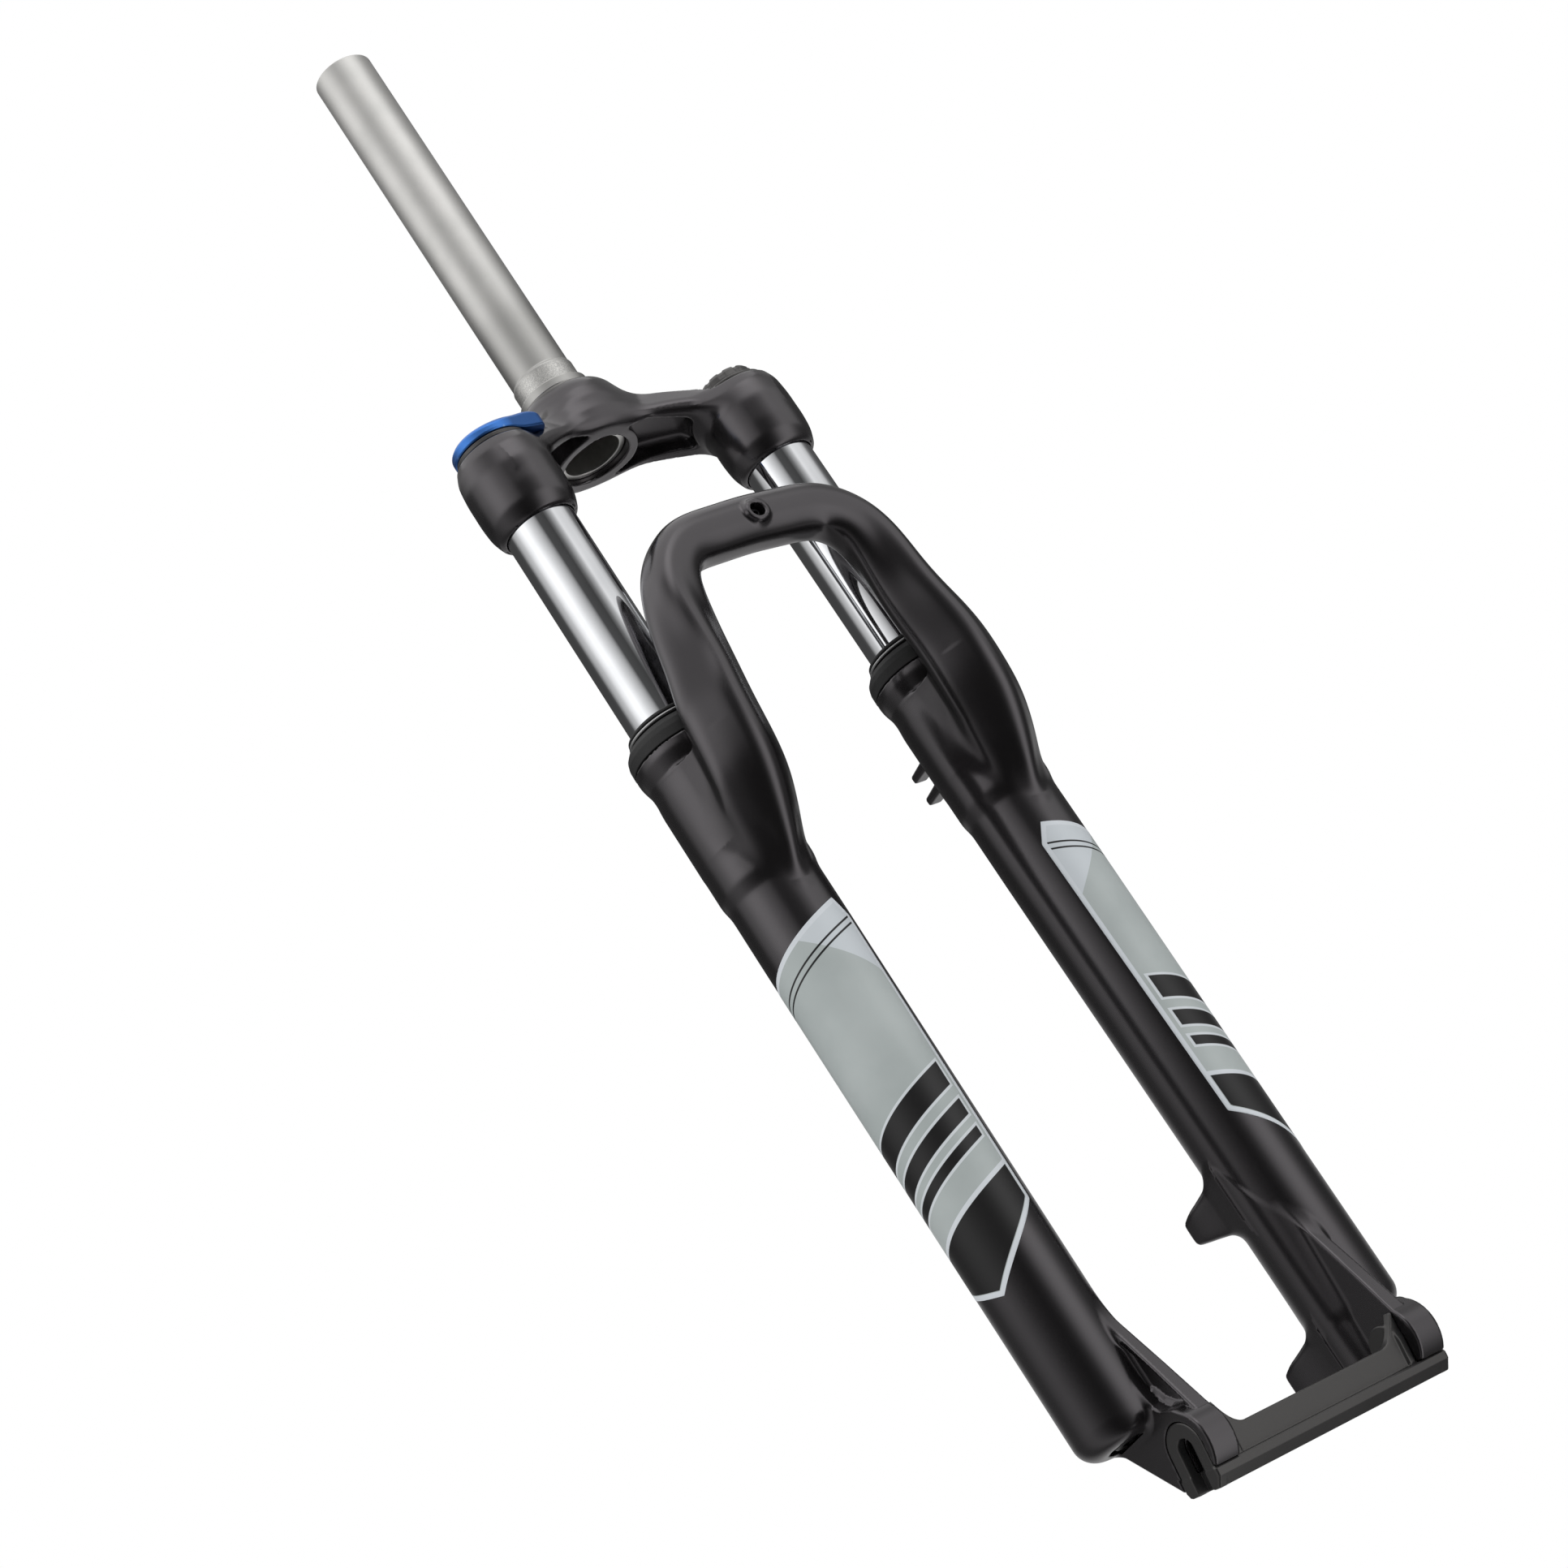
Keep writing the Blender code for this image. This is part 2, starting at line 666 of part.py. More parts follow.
# Arch stations from a leg to the middle: x, y, z, half width across the limb, half depth front to back
ARCH_STATIONS = (
    (65.0, -33.0, -278.0, 13.0, 8.0),
    (65.0, -40.0, -258.0, 18.0, 11.0),
    (64.7, -49.0, -232.0, 17.8, 12.5),
    (63.6, -56.5, -206.0, 15.2, 12.0),
    (60.2, -60.5, -180.0, 12.8, 11.4),
    (55.6, -61.7, -157.0, 11.8, 11.0),
    (48.6, ARCH_Y, -138.5, 11.6, 11.0),
    (36.4, ARCH_Y, ARCH_Z - 2.2, 11.7, 11.0),
    (18.0, ARCH_Y, ARCH_Z + 0.6, 11.8, 11.0),
    (0.0, ARCH_Y, ARCH_Z + 1.2, 11.8, 11.0),
)


def arch_rings():
    half = smooth_stations(ARCH_STATIONS, 2)
    path = half + [(-x, *rest) for x, *rest in half[-2::-1]]
    rings = []
    for i, (x, y, z, half_width, half_depth) in enumerate(path):
        before = path[max(i - 1, 0)]
        after = path[min(i + 1, len(path) - 1)]
        along = Vector((after[0] - before[0], 0.0, after[2] - before[2])).normalized()
        across = Vector((-along.z, 0.0, along.x))
        rings.append(rounded_section(Vector((x, y, z)), across, BACK, half_width, half_depth, 2.5, 16))
    return rings


def leg_profile():
    start_bore = 2.0
    return [
        (23.2, CASTING_TOP),
        (23.6, CASTING_TOP - 0.5),
        (23.5, CASTING_TOP - 5.0),
        (22.7, CASTING_TOP - 9.5),
        (22.0, CASTING_TOP - 13.0),
        (22.0, LEG_STEP + 2.5),
        (20.9, LEG_STEP - 3.0),
        (20.9, LEG_END + 14.0),
        (20.0, LEG_END + 7.5),
        (18.0, LEG_END + 3.0),
        (14.5, LEG_END + 0.7),
        (11.5, LEG_END),
        (start_bore, LEG_END),
        (start_bore, CASTING_TOP),
    ]


def leg_bore_profile():
    """Clearance behind the arch, seal pocket, bushing bore, floor, bolt hole and the recess under the foot."""
    clearance = 25.2
    return [
        (0.0, ARCH_Z + 20.0),
        (clearance, ARCH_Z + 20.0),
        (clearance, CASTING_TOP + 0.02),
        (20.3, CASTING_TOP + 0.02),
        (20.3, CASTING_TOP - 10.7),
        (LEG_BORE_RADIUS, CASTING_TOP - 10.7),
        (LEG_BORE_RADIUS, LEG_FLOOR + 4.0),
        (LEG_BORE_RADIUS - 4.0, LEG_FLOOR),
        (4.6, LEG_FLOOR),
        (4.6, LEG_END + 8.0),
        (8.6, LEG_END + 8.0),
        (8.6, LEG_END - 5.0),
        (0.0, LEG_END - 5.0),
    ]


def slot_point(back, down):
    """A point in the dropout's plane, measured from the axle along and across its slot."""
    place = AXLE + SLOT_BACK * back + SLOT_DOWN * down
    return (place.y, place.z)


def keyhole(radius, length):
    """A round end about the axle with straight sides that run down the slot."""
    points = []
    for i in range(13):
        angle = math.pi * i / 12
        points.append(slot_point(-radius * math.cos(angle), -radius * math.sin(angle)))
    points.append(slot_point(radius, length))
    points.append(slot_point(-radius, length))
    return points


PRONG_LENGTH = 11.0             # below the axle
SEAT_RADIUS = 11.3              # recess for an axle nut, or for the clip's plate
SEAT_DEPTH = 3.0


def dropout_outline():
    """Web from the leg down to the axle, with a round nose in front."""
    nose = arc((AXLE_Y, AXLE_Z), DROPOUT_RADIUS, 150.0, 226.0, 8)
    return [
        (-28.0, -468.0),
        (-38.5, -487.0),
        (-52.6, -516.0),
        *nose,
        slot_point(-12.4, PRONG_LENGTH),
        slot_point(13.4, PRONG_LENGTH),
        (-27.8, -556.0),
        (-21.5, -546.5),
        (-13.5, -536.0),
        (-12.0, -520.0),
        (-14.0, -468.0),
    ]


def pocket_outline():
    """Triangular pocket in the web's outer face."""
    return [
        (-42.0, -503.0),
        *arc((-54.0, -530.0), 3.6, 155.0, 250.0, 4),
        *arc((-35.0, -533.0), 3.6, 280.0, 350.0, 4),
    ]


def make_casting():
    casting = lofted("lower_casting", arch_rings(), BLACK_PAINT)
    for name, side in SIDES.items():
        fuse(casting, turned(f"leg_{name}", leg_profile(), None, leg_axis(side), VISIBLE_STEPS))
        low, high = sorted((side * DROPOUT_INNER, side * DROPOUT_OUTER))
        fuse(casting, plate(f"dropout_{name}", dropout_outline(), low, high, None, 0.8))
    add_brake_posts(casting)
    add_hose_guides(casting)
    boss_face = ARCH_Y - 13.0
    fuse(casting, cylinder("arch_boss", (0.0, ARCH_Y - 7.5, ARCH_Z), 5.4, 5.5, (0, 1, 0), None, 18))
    cut(casting, cylinder("arch_boss_hole", (0.0, boss_face, ARCH_Z), 2.6, 7.0, (0, 1, 0), None, 12))
    for name, side in SIDES.items():
        outer = side * DROPOUT_OUTER
        low, high = sorted((outer - side * SEAT_DEPTH, outer + side * 8))
        cut(casting, plate(f"nut_seat_{name}", keyhole(SEAT_RADIUS, 40.0), low, high, None))
        low, high = sorted((side * (DROPOUT_INNER - 5), side * (DROPOUT_OUTER + 5)))
        cut(casting, plate(f"axle_slot_{name}", keyhole(AXLE_SLOT / 2, 40.0), low, high, None))
        low, high = sorted((outer - side * 4.0, outer + side * 2))
        cut(casting, plate(f"web_pocket_{name}", pocket_outline(), low, high, None))
    cut(casting, both_legs("leg_bore", leg_bore_profile()))


# Brake post stations from the leg back: y, x, height over the post's own, half width, half height
POST_STATIONS = (
    (-22.0, 56.0, -3.0, 11.0, 14.0),
    (-8.0, 53.0, -1.0, 8.6, 9.0),
    (0.0, POST_X + 0.5, 0.0, 7.4, 6.8),
    (POST_Y, POST_X, 0.0, 7.0, 6.2),
)


def add_brake_posts(casting):
    for i in range(2):
        z = POST_UPPER_Z - i * POST_SPACING
        rings = []
        for y, x, rise, half_width, half_height in POST_STATIONS:
            centre = Vector((x, y, z + rise))
            rings.append(rounded_section(centre, LEFT, UP, half_width, half_height, 2.2, 14))
        fuse(casting, lofted(f"brake_post_{i}", rings, None))
        cut(casting, cylinder(f"brake_thread_{i}", (POST_X, POST_Y, z), 2.6, 12.0, (0, 1, 0), None, 12))


def add_hose_guides(casting):
    for i in range(2):
        z = HOSE_GUIDE_Z - 12.0 * i
        fuse(casting, box(f"hose_guide_{i}", (56.0, -8.0, z - 2.4), (65.0, 11.0, z + 2.4), None, 1.2))


# What rides in and on the casting


def make_bushings():
    for name, side in SIDES.items():
        for height, top, length in (("upper", -213.0, 15.0), ("lower", -330.0, 20.0)):
            turned(f"bushing_{height}_{name}", [
                (LEG_BORE_RADIUS - GAP, top),
                (LEG_BORE_RADIUS - GAP, top - length),
                (STANCHION_RADIUS + GAP, top - length),
                (STANCHION_RADIUS + GAP, top),
            ], BRONZE, leg_axis(side), 20)


def make_seals():
    for name, side in SIDES.items():
        turned(f"wiper_seal_{name}", [
            (17.2, SEAL_TOP),
            (18.7, SEAL_TOP - 1.2),
            (18.7, SEAL_TOP - 2.0),
            (17.5, SEAL_TOP - 2.2),
            (17.5, SEAL_TOP - 4.4),
            (18.9, SEAL_TOP - 4.6),
            (20.8, SEAL_TOP - 5.6),
            (22.8, SEAL_TOP - 8.0),
            (23.6, SEAL_TOP - 10.4),
            (23.7, CASTING_TOP + GAP),
            (19.9, CASTING_TOP + GAP),
            (19.9, CASTING_TOP - 10.2),
            (16.6, CASTING_TOP - 10.2),
            (STANCHION_RADIUS + GAP, SEAL_TOP - 1.0),
        ], RUBBER, leg_axis(side), VISIBLE_STEPS)
        ring = 0.75
        turned(f"garter_spring_{name}", [
            (18.65 + ring * math.sin(math.tau * i / 5), SEAL_TOP - 3.3 + ring * math.cos(math.tau * i / 5))
            for i in range(5)
        ], STEEL, leg_axis(side), 20)


def make_foot_bolts():
    seat = LEG_END + 8.0 - GAP
    washer = 1.6
    head_top = seat - washer - GAP
    head_bottom = head_top - 5.4
    for name, side in SIDES.items():
        turned(f"foot_washer_{name}", [
            (8.0, seat),
            (8.0, seat - washer),
            (4.5, seat - washer),
            (4.5, seat),
        ], ALUMINIUM, leg_axis(side), HIDDEN_STEPS)
        bolt = turned(f"foot_bolt_{name}", [
            (0.0, -492.0),
            (4.0, -493.0),
            (4.0, head_top),
            (6.5, head_top),
            (6.5, head_bottom + 0.8),
            (5.8, head_bottom),
            (0.0, head_bottom),
        ], STEEL, leg_axis(side), HIDDEN_STEPS)
        hex_centre = (side * LEG_X, LEG_Y, head_bottom)
        cut(bolt, cylinder(f"foot_hex_{name}", hex_centre, 2.9, 3.2, (0, 0, 1), None, 6))


# Transport clip: a beam between the dropouts, a rail under them, and plates on both of their sides


RAIL_DEPTH = 6.2


def make_transport_spacer():
    beam_half = DROPOUT_INNER - GAP
    rail_half = DROPOUT_OUTER + 1.6
    rail_top = PRONG_LENGTH + GAP
    rail = [
        slot_point(-12.0, rail_top),
        slot_point(12.0, rail_top),
        slot_point(12.0, rail_top + RAIL_DEPTH - 3.0),
        slot_point(9.0, rail_top + RAIL_DEPTH),
        slot_point(-9.0, rail_top + RAIL_DEPTH),
        slot_point(-12.0, rail_top + RAIL_DEPTH - 3.0),
    ]
    spacer = plate("transport_spacer", rail, -rail_half, rail_half, BLACK_PLASTIC)
    web = [
        slot_point(-10.5, -1.0),
        slot_point(-5.5, -1.0),
        slot_point(-5.5, rail_top + 2.0),
        slot_point(-10.5, rail_top + 2.0),
    ]
    fuse(spacer, plate("clip_web", web, -beam_half, beam_half, None))
    for name, side in SIDES.items():
        low, high = sorted((side * (beam_half - 3.4), side * beam_half))
        fuse(spacer, plate(f"clip_cheek_{name}", keyhole(11.5, rail_top + 2.0), low, high, None))
        seat_floor = DROPOUT_OUTER - SEAT_DEPTH + GAP
        low, high = sorted((side * seat_floor, side * (seat_floor + 4.0)))
        outer_plate = keyhole(SEAT_RADIUS - GAP, rail_top + RAIL_DEPTH)
        fuse(spacer, plate(f"clip_plate_{name}", outer_plate, low, high, None))
        low, high = sorted((side * (seat_floor - 1.0), side * (rail_half + 3.0)))
        cut(spacer, plate(f"clip_slot_{name}", keyhole(AXLE_SLOT / 2, 40.0), low, high, None))
        low, high = sorted((side * (beam_half - 1.0), side * (seat_floor + 2.4)))
        fuse(spacer, plate(f"clip_axle_{name}", keyhole(AXLE_SLOT / 2 - 1.0, rail_top + 4.0), low, high, None))


make_steerer()
make_crown()
make_stanchions()
make_lockout()
make_damper()
make_preload()
make_spring()
make_compression_rod()
make_casting()
make_bushings()
make_seals()
make_foot_bolts()
make_transport_spacer()
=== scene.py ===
import math

import bmesh
import bpy
import numpy as np
from mathutils import Matrix, Vector


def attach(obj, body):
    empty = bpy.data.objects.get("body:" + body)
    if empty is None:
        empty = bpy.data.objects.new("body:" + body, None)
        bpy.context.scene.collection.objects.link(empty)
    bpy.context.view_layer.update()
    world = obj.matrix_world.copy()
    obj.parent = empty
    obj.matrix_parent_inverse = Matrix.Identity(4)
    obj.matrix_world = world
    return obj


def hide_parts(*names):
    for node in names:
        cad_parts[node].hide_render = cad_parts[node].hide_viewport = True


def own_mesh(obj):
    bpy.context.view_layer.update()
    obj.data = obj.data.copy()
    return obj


# Lengths of the pieces are in millimetres until a mesh is made; materials and stage are in metres.
# The last number of each rounding or fillet is its radius.
# X is to the rider's left, -Y is forwards, Z runs up the steerer from the crown race seat.

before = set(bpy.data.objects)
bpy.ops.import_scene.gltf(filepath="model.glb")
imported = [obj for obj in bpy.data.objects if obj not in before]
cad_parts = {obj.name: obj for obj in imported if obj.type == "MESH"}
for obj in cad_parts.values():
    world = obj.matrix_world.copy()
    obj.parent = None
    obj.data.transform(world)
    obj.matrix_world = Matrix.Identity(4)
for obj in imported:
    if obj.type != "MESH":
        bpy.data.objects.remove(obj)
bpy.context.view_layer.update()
print("frame loaded:", len(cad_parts), "nodes")

mm = 0.001
legX, legY = 65.0, -26.0
axleY, axleZ = -51.0, -553.0
slotTilt = math.radians(12.0)
sides = {"Right": -1.0, "Left": 1.0}


# Small formulas that the shapes share

def softMin(a, b, width):  # smaller of two distances, blended where they differ by less than the width
    h = np.clip(0.5 + 0.5 * (b - a) / width, 0.0, 1.0)
    return b + (a - b) * h - width * h * (1.0 - h)


def roundMin(a, b, radius):  # union with a circular fillet of this radius in the corner
    return np.maximum(radius, np.minimum(a, b)) - np.hypot(np.maximum(radius - a, 0), np.maximum(radius - b, 0))


def roundMax(a, b, radius):  # intersection whose outer edge is rounded to this radius
    return np.minimum(-radius, np.maximum(a, b)) + np.hypot(np.maximum(radius + a, 0), np.maximum(radius + b, 0))


def smoothTable(points, blur):  # radius against height: straight runs, averaged over a bell of this width
    points = np.array(points, float)
    points = points[np.argsort(points[:, 1])]
    heights = np.arange(points[0, 1] - 20, points[-1, 1] + 20, 0.25)
    radii = np.interp(heights, points[:, 1], points[:, 0])
    bell = np.exp(-0.5 * (np.arange(-24, 25) * 0.25 / blur) ** 2)
    padded = np.pad(radii, 24, mode="edge")
    return heights, np.convolve(padded, bell / bell.sum(), mode="valid")


def tableAt(table, z):  # value of a table at a height
    return np.interp(z, table[0], table[1])


def splineThrough(knots, values, endSlope=None):  # slopes that make a cubic's bending continuous at every knot
    knots, values = np.array(knots, float), np.array(values, float)
    n = len(knots)
    h = np.diff(knots)
    rise = np.diff(values, axis=0) / h[:, None]
    system = np.zeros((n, n))
    right = np.zeros_like(values)
    inner = np.arange(1, n - 1)
    system[inner, inner - 1] = h[1:]
    system[inner, inner] = 2 * (h[1:] + h[:-1])
    system[inner, inner + 1] = h[:-1]
    right[inner] = 3 * (h[1:, None] * rise[:-1] + h[:-1, None] * rise[1:])
    system[0, :2] = 2, 1
    right[0] = 3 * rise[0]
    system[-1, -2:] = (1, 2) if endSlope is None else (0, 1)
    right[-1] = 3 * rise[-1] if endSlope is None else endSlope
    return knots, values, np.linalg.solve(system, right)


def splineAt(spline, t):  # Hermite cubic between knots, with its first and second derivative
    knots, values, slopes = spline
    i = np.clip(np.searchsorted(knots, t) - 1, 0, len(knots) - 2)
    h = (knots[i + 1] - knots[i])[..., None]
    s = (t - knots[i])[..., None] / h
    a, b, m, k = values[i], values[i + 1], slopes[i] * h, slopes[i + 1] * h
    c2, c3 = 3 * (b - a) - 2 * m - k, 2 * (a - b) + m + k
    return a + s * (m + s * (c2 + s * c3)), (m + s * (2 * c2 + 3 * s * c3)) / h, (2 * c2 + 6 * s * c3) / h**2


def polygonDistance(corners, u, v):  # distance to the nearest edge, negative inside by counting crossings
    best = np.full(np.broadcast(u, v).shape, 1e9)
    inside = np.ones(best.shape)
    corners = np.array(corners, float)
    for (au, av), (bu, bv) in zip(corners, np.roll(corners, -1, axis=0)):  # one pass per edge
        eu, ev = bu - au, bv - av
        t = np.clip(((u - au) * eu + (v - av) * ev) / (eu * eu + ev * ev), 0, 1)
        best = np.minimum(best, (u - au - t * eu) ** 2 + (v - av - t * ev) ** 2)
        crosses = ((av > v) != (bv > v)) & (u < eu * (v - av) / (ev if ev else 1e-9) + au)
        inside = np.where(crosses, -inside, inside)
    return inside * np.sqrt(best)


def slotFrame(y, z):  # distances behind and below the axle, along the tilted dropout slot
    c, s = math.cos(slotTilt), math.sin(slotTilt)
    return (y - axleY) * c + (z - axleZ) * s, (y - axleY) * s - (z - axleZ) * c


def slab(t, low, high):  # distance to the space between two parallel faces
    return np.abs(t - (high + low) / 2) - (high - low) / 2


def keyhole(back, down, radius):  # half circle over the axle that runs straight down the slot
    return np.hypot(back, np.minimum(down, 0)) - radius


def tearDrop(u, w, radius, tip, span):
    # large and small circle joined by straight flanks; u runs along the line of centres
    lean = np.clip((radius - tip) / span, -0.99, 0.99)
    upright = np.sqrt(1 - lean * lean)
    along = upright * u - lean * w
    flank = upright * w + lean * u - radius
    return np.where(along < 0, np.hypot(u, w) - radius,
                    np.where(along > upright * span, np.hypot(u - span, w) - tip, flank))


# Meshes from arrays

def circle(steps):  # evenly spaced angles round a full turn
    return np.linspace(0, 2 * np.pi, steps, endpoint=False)


def hexScale(angle):  # reach of a hexagon at this angle as a share of its corners' reach
    return math.cos(math.pi / 6) / np.cos((angle % (math.pi / 3)) - math.pi / 6)


def scaleAbout(points, axis, scale):  # distance from an upright axis times a factor
    for k in (0, 1):
        points[..., k] = axis[k] + (points[..., k] - axis[k]) * scale


def gridFaces(rows, cols, closeRows, closeCols):  # quads of a grid; a closed direction joins its last line to its first
    r, c = np.meshgrid(np.arange(rows if closeRows else rows - 1),
                       np.arange(cols if closeCols else cols - 1), indexing="ij")
    r2, c2 = (r + 1) % rows, (c + 1) % cols
    return np.stack([r * cols + c, r2 * cols + c, r2 * cols + c2, r * cols + c2], -1).reshape(-1, 4)


def addPiece(name, points, faces, material, body, nodes=(), normals=None, weld=False, closed=True):
    # points in mm become a mesh; the sign of its volume tells which way its faces must turn
    a, b, c, d = np.moveaxis(points[faces[:, [0, 1, 2, -1]]], 1, 0)
    volume = (np.cross(b, c) * a).sum() + (np.cross(c, d) * a).sum()
    if closed and volume < 0:
        faces = faces[:, ::-1]
    mesh = bpy.data.meshes.new(name)
    mesh.from_pydata(points * mm, [], faces)
    if weld:
        shape = bmesh.new()
        shape.from_mesh(mesh)
        bmesh.ops.remove_doubles(shape, verts=shape.verts, dist=1e-7)
        shape.to_mesh(mesh)
        shape.free()
    mesh.shade_smooth()
    if normals is not None:
        mesh.normals_split_custom_set_from_vertices(normals)
    mesh.materials.append(material)
    piece = bpy.data.objects.new(name, mesh)
    bpy.context.scene.collection.objects.link(piece)
    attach(piece, body)
    if nodes:
        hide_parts(*nodes)
    print("  piece", name, len(mesh.polygons), "faces")
    return piece


def roundedProfile(corners, radius):  # each corner gives way to a short parabola with a support point on both sides
    p = np.array(corners, float)
    before, after = np.roll(p, 1, axis=0) - p, np.roll(p, -1, axis=0) - p
    lengthA = np.linalg.norm(before, axis=1, keepdims=True)
    lengthB = np.linalg.norm(after, axis=1, keepdims=True)
    a = p + before / lengthA * np.minimum(radius, 0.32 * lengthA)
    b = p + after / lengthB * np.minimum(radius, 0.32 * lengthB)
    t = np.linspace(0, 1, 6)[None, :, None]
    bend = (1 - t) ** 2 * a[:, None] + 2 * t * (1 - t) * p[:, None] + t**2 * b[:, None]
    return np.concatenate([(a + 0.3 * (a - p))[:, None], bend, (b + 0.3 * (b - p))[:, None]], 1).reshape(-1, 2)


def turnedPoints(profile, axis, steps):  # profile of radius and height carried round an upright axis
    angle = circle(steps)[:, None]
    r, z = profile[None, :, 0], profile[None, :, 1]
    return np.stack([axis[0] + r * np.cos(angle), axis[1] + r * np.sin(angle), z + 0 * angle], -1)


def turnedPiece(name, corners, axis, material, body, nodes, rounding=0.4, steps=96, hexHole=None):
    # closed profile turned about its axis; points narrower than a hex hole's corner take its six-sided outline
    profile = roundedProfile(corners, rounding)
    points = turnedPoints(profile, axis, steps)
    if hexHole:
        inHole = (profile[:, 0] <= hexHole["corner"] + 1e-6) & (profile[:, 1] * hexHole["facing"] > hexHole["floor"])
        scaleAbout(points, axis, np.where(inHole[None, :], hexScale(circle(steps)[:, None]), 1.0))
    faces = gridFaces(steps, len(profile), True, True)
    addPiece(name, points.reshape(-1, 3), faces, material, body, nodes, weld=True)


def skinOf(values, xs, ys, zs):
    # surface net: one point in each cell that the surface passes, at the mean of its edge crossings,
    # and one quad round each grid edge whose ends lie on different sides
    inside = values < 0
    shape = np.array(values.shape) - 1
    count = np.zeros(shape, np.int8)
    for corner in np.ndindex(2, 2, 2):
        count += inside[tuple(slice(c, c + n) for c, n in zip(corner, shape))]
    cell = np.argwhere((count > 0) & (count < 8))
    index = np.full(shape, -1)
    index[tuple(cell.T)] = np.arange(len(cell))
    total, crossings = np.zeros((len(cell), 3)), np.zeros((len(cell), 1))
    for axis in range(3):  # twelve cell edges, four along each axis
        step = np.eye(3, dtype=int)[axis]
        for corner in np.ndindex(2, 2, 2):
            if corner[axis]:
                continue
            start = cell + corner
            va, vb = values[tuple(start.T)], values[tuple((start + step).T)]
            crossed = (va < 0) != (vb < 0)
            t = np.where(crossed, va / np.where(crossed, va - vb, 1), 0)[:, None]
            total += np.where(crossed[:, None], np.array(corner) + t * step, 0)
            crossings += crossed[:, None]
    place = cell + total / crossings
    lines = (xs, ys, zs)
    points = np.stack([np.interp(place[:, k], np.arange(len(lines[k])), lines[k]) for k in range(3)], 1)
    quads = []
    for axis in range(3):
        step = np.eye(3, dtype=int)[axis]
        low = inside[tuple(slice(0, n - s) for n, s in zip(values.shape, step))]
        high = inside[tuple(slice(s, n) for n, s in zip(values.shape, step))]
        edge = np.argwhere(low != high)
        edge = edge[(edge[:, (axis + 1) % 3] > 0) & (edge[:, (axis + 2) % 3] > 0)]
        u, v = np.eye(3, dtype=int)[(axis + 1) % 3], np.eye(3, dtype=int)[(axis + 2) % 3]
        ring = np.stack([index[tuple((edge - a * u - b * v).T)] for a, b in ((1, 1), (0, 1), (0, 0), (1, 0))], 1)
        outward = low[tuple(edge.T)]
        quads.append(np.where(outward[:, None], ring, ring[:, ::-1]))
    return points, np.concatenate(quads)


def slopeOf(field, p):  # central differences of a distance field
    e = 0.04
    x, y, z = p.T
    return np.stack([field(x + e, y, z) - field(x - e, y, z),
                     field(x, y + e, z) - field(x, y - e, z),
                     field(x, y, z + e) - field(x, y, z - e)], 1) / (2 * e)


def settle(field, p, reach, passes=3):  # Newton steps that bring points onto the surface
    for _ in range(passes):
        g = slopeOf(field, p)
        move = field(*p.T)[:, None] * g / np.maximum((g * g).sum(1, keepdims=True), 0.05)
        p = p - move * np.minimum(1, reach / np.maximum(np.linalg.norm(move, axis=1, keepdims=True), 1e-9))
    return p


def thinned(points, faces, most):  # collapses edges on plain areas until at most this many triangles are left
    mesh = bpy.data.meshes.new("thinning")
    mesh.from_pydata(points, [], faces)
    holder = bpy.data.objects.new("thinning", mesh)
    bpy.context.scene.collection.objects.link(holder)
    change = holder.modifiers.new("thin", "DECIMATE")
    change.ratio = most / (2 * len(faces))
    bpy.context.view_layer.update()
    done = holder.evaluated_get(bpy.context.evaluated_depsgraph_get()).to_mesh()
    done.calc_loop_triangles()
    p = np.empty(len(done.vertices) * 3, np.float32)
    done.vertices.foreach_get("co", p)
    f = np.empty(len(done.loop_triangles) * 3, np.int32)
    done.loop_triangles.foreach_get("vertices", f)
    bpy.data.objects.remove(holder, do_unlink=True)
    bpy.data.meshes.remove(mesh)
    return p.reshape(-1, 3).astype(float), f.reshape(-1, 3)


def fieldPiece(name, field, lines, material, body, nodes, most=190000):
    # the zero surface of a distance field on a box of grid lines, thinned, settled and given the field's own normals
    xs, ys, zs = [np.asarray(line, np.float32) for line in lines]
    values = field(xs[:, None, None], ys[None, :, None], zs[None, None, :])
    points, faces = skinOf(np.asarray(values), xs, ys, zs)
    reach = 0.5 * float(np.diff(xs).min())
    points = settle(field, points, reach, 1)
    if 2 * len(faces) > most:
        points, faces = thinned(points, faces, most)
    points = settle(field, points, reach, 2)
    normals = slopeOf(field, points)
    normals /= np.maximum(np.linalg.norm(normals, axis=1, keepdims=True), 1e-9)
    addPiece(name, points, faces, material, body, nodes, normals, closed=False)


# Shader helpers

def addNode(tree, kind, inputs=None, **settings):  # a socket given as an input is linked, anything else is set
    node = tree.nodes.new(kind)
    for key, value in settings.items():
        setattr(node, key, value)
    for key, value in (inputs or {}).items():
        if isinstance(value, bpy.types.NodeSocket):
            tree.links.new(value, node.inputs[key])
        else:
            node.inputs[key].default_value = value
    return node


def calc(tree, operation, a, b=0.0, clamp=False):  # one arithmetic node on two values
    return addNode(tree, "ShaderNodeMath", {0: a, 1: b}, operation=operation, use_clamp=clamp).outputs[0]


def ramp(tree, value, low, high, start=0.0, end=1.0):  # smooth step between two values
    inputs = {"Value": value, "From Min": low, "From Max": high, "To Min": start, "To Max": end}
    return addNode(tree, "ShaderNodeMapRange", inputs, interpolation_type="SMOOTHSTEP").outputs["Result"]


def mixColour(tree, mask, a, b):  # a plus the mask times the difference of b and a
    return addNode(tree, "ShaderNodeMix", {0: mask, 6: a, 7: b}, data_type="RGBA").outputs[2]


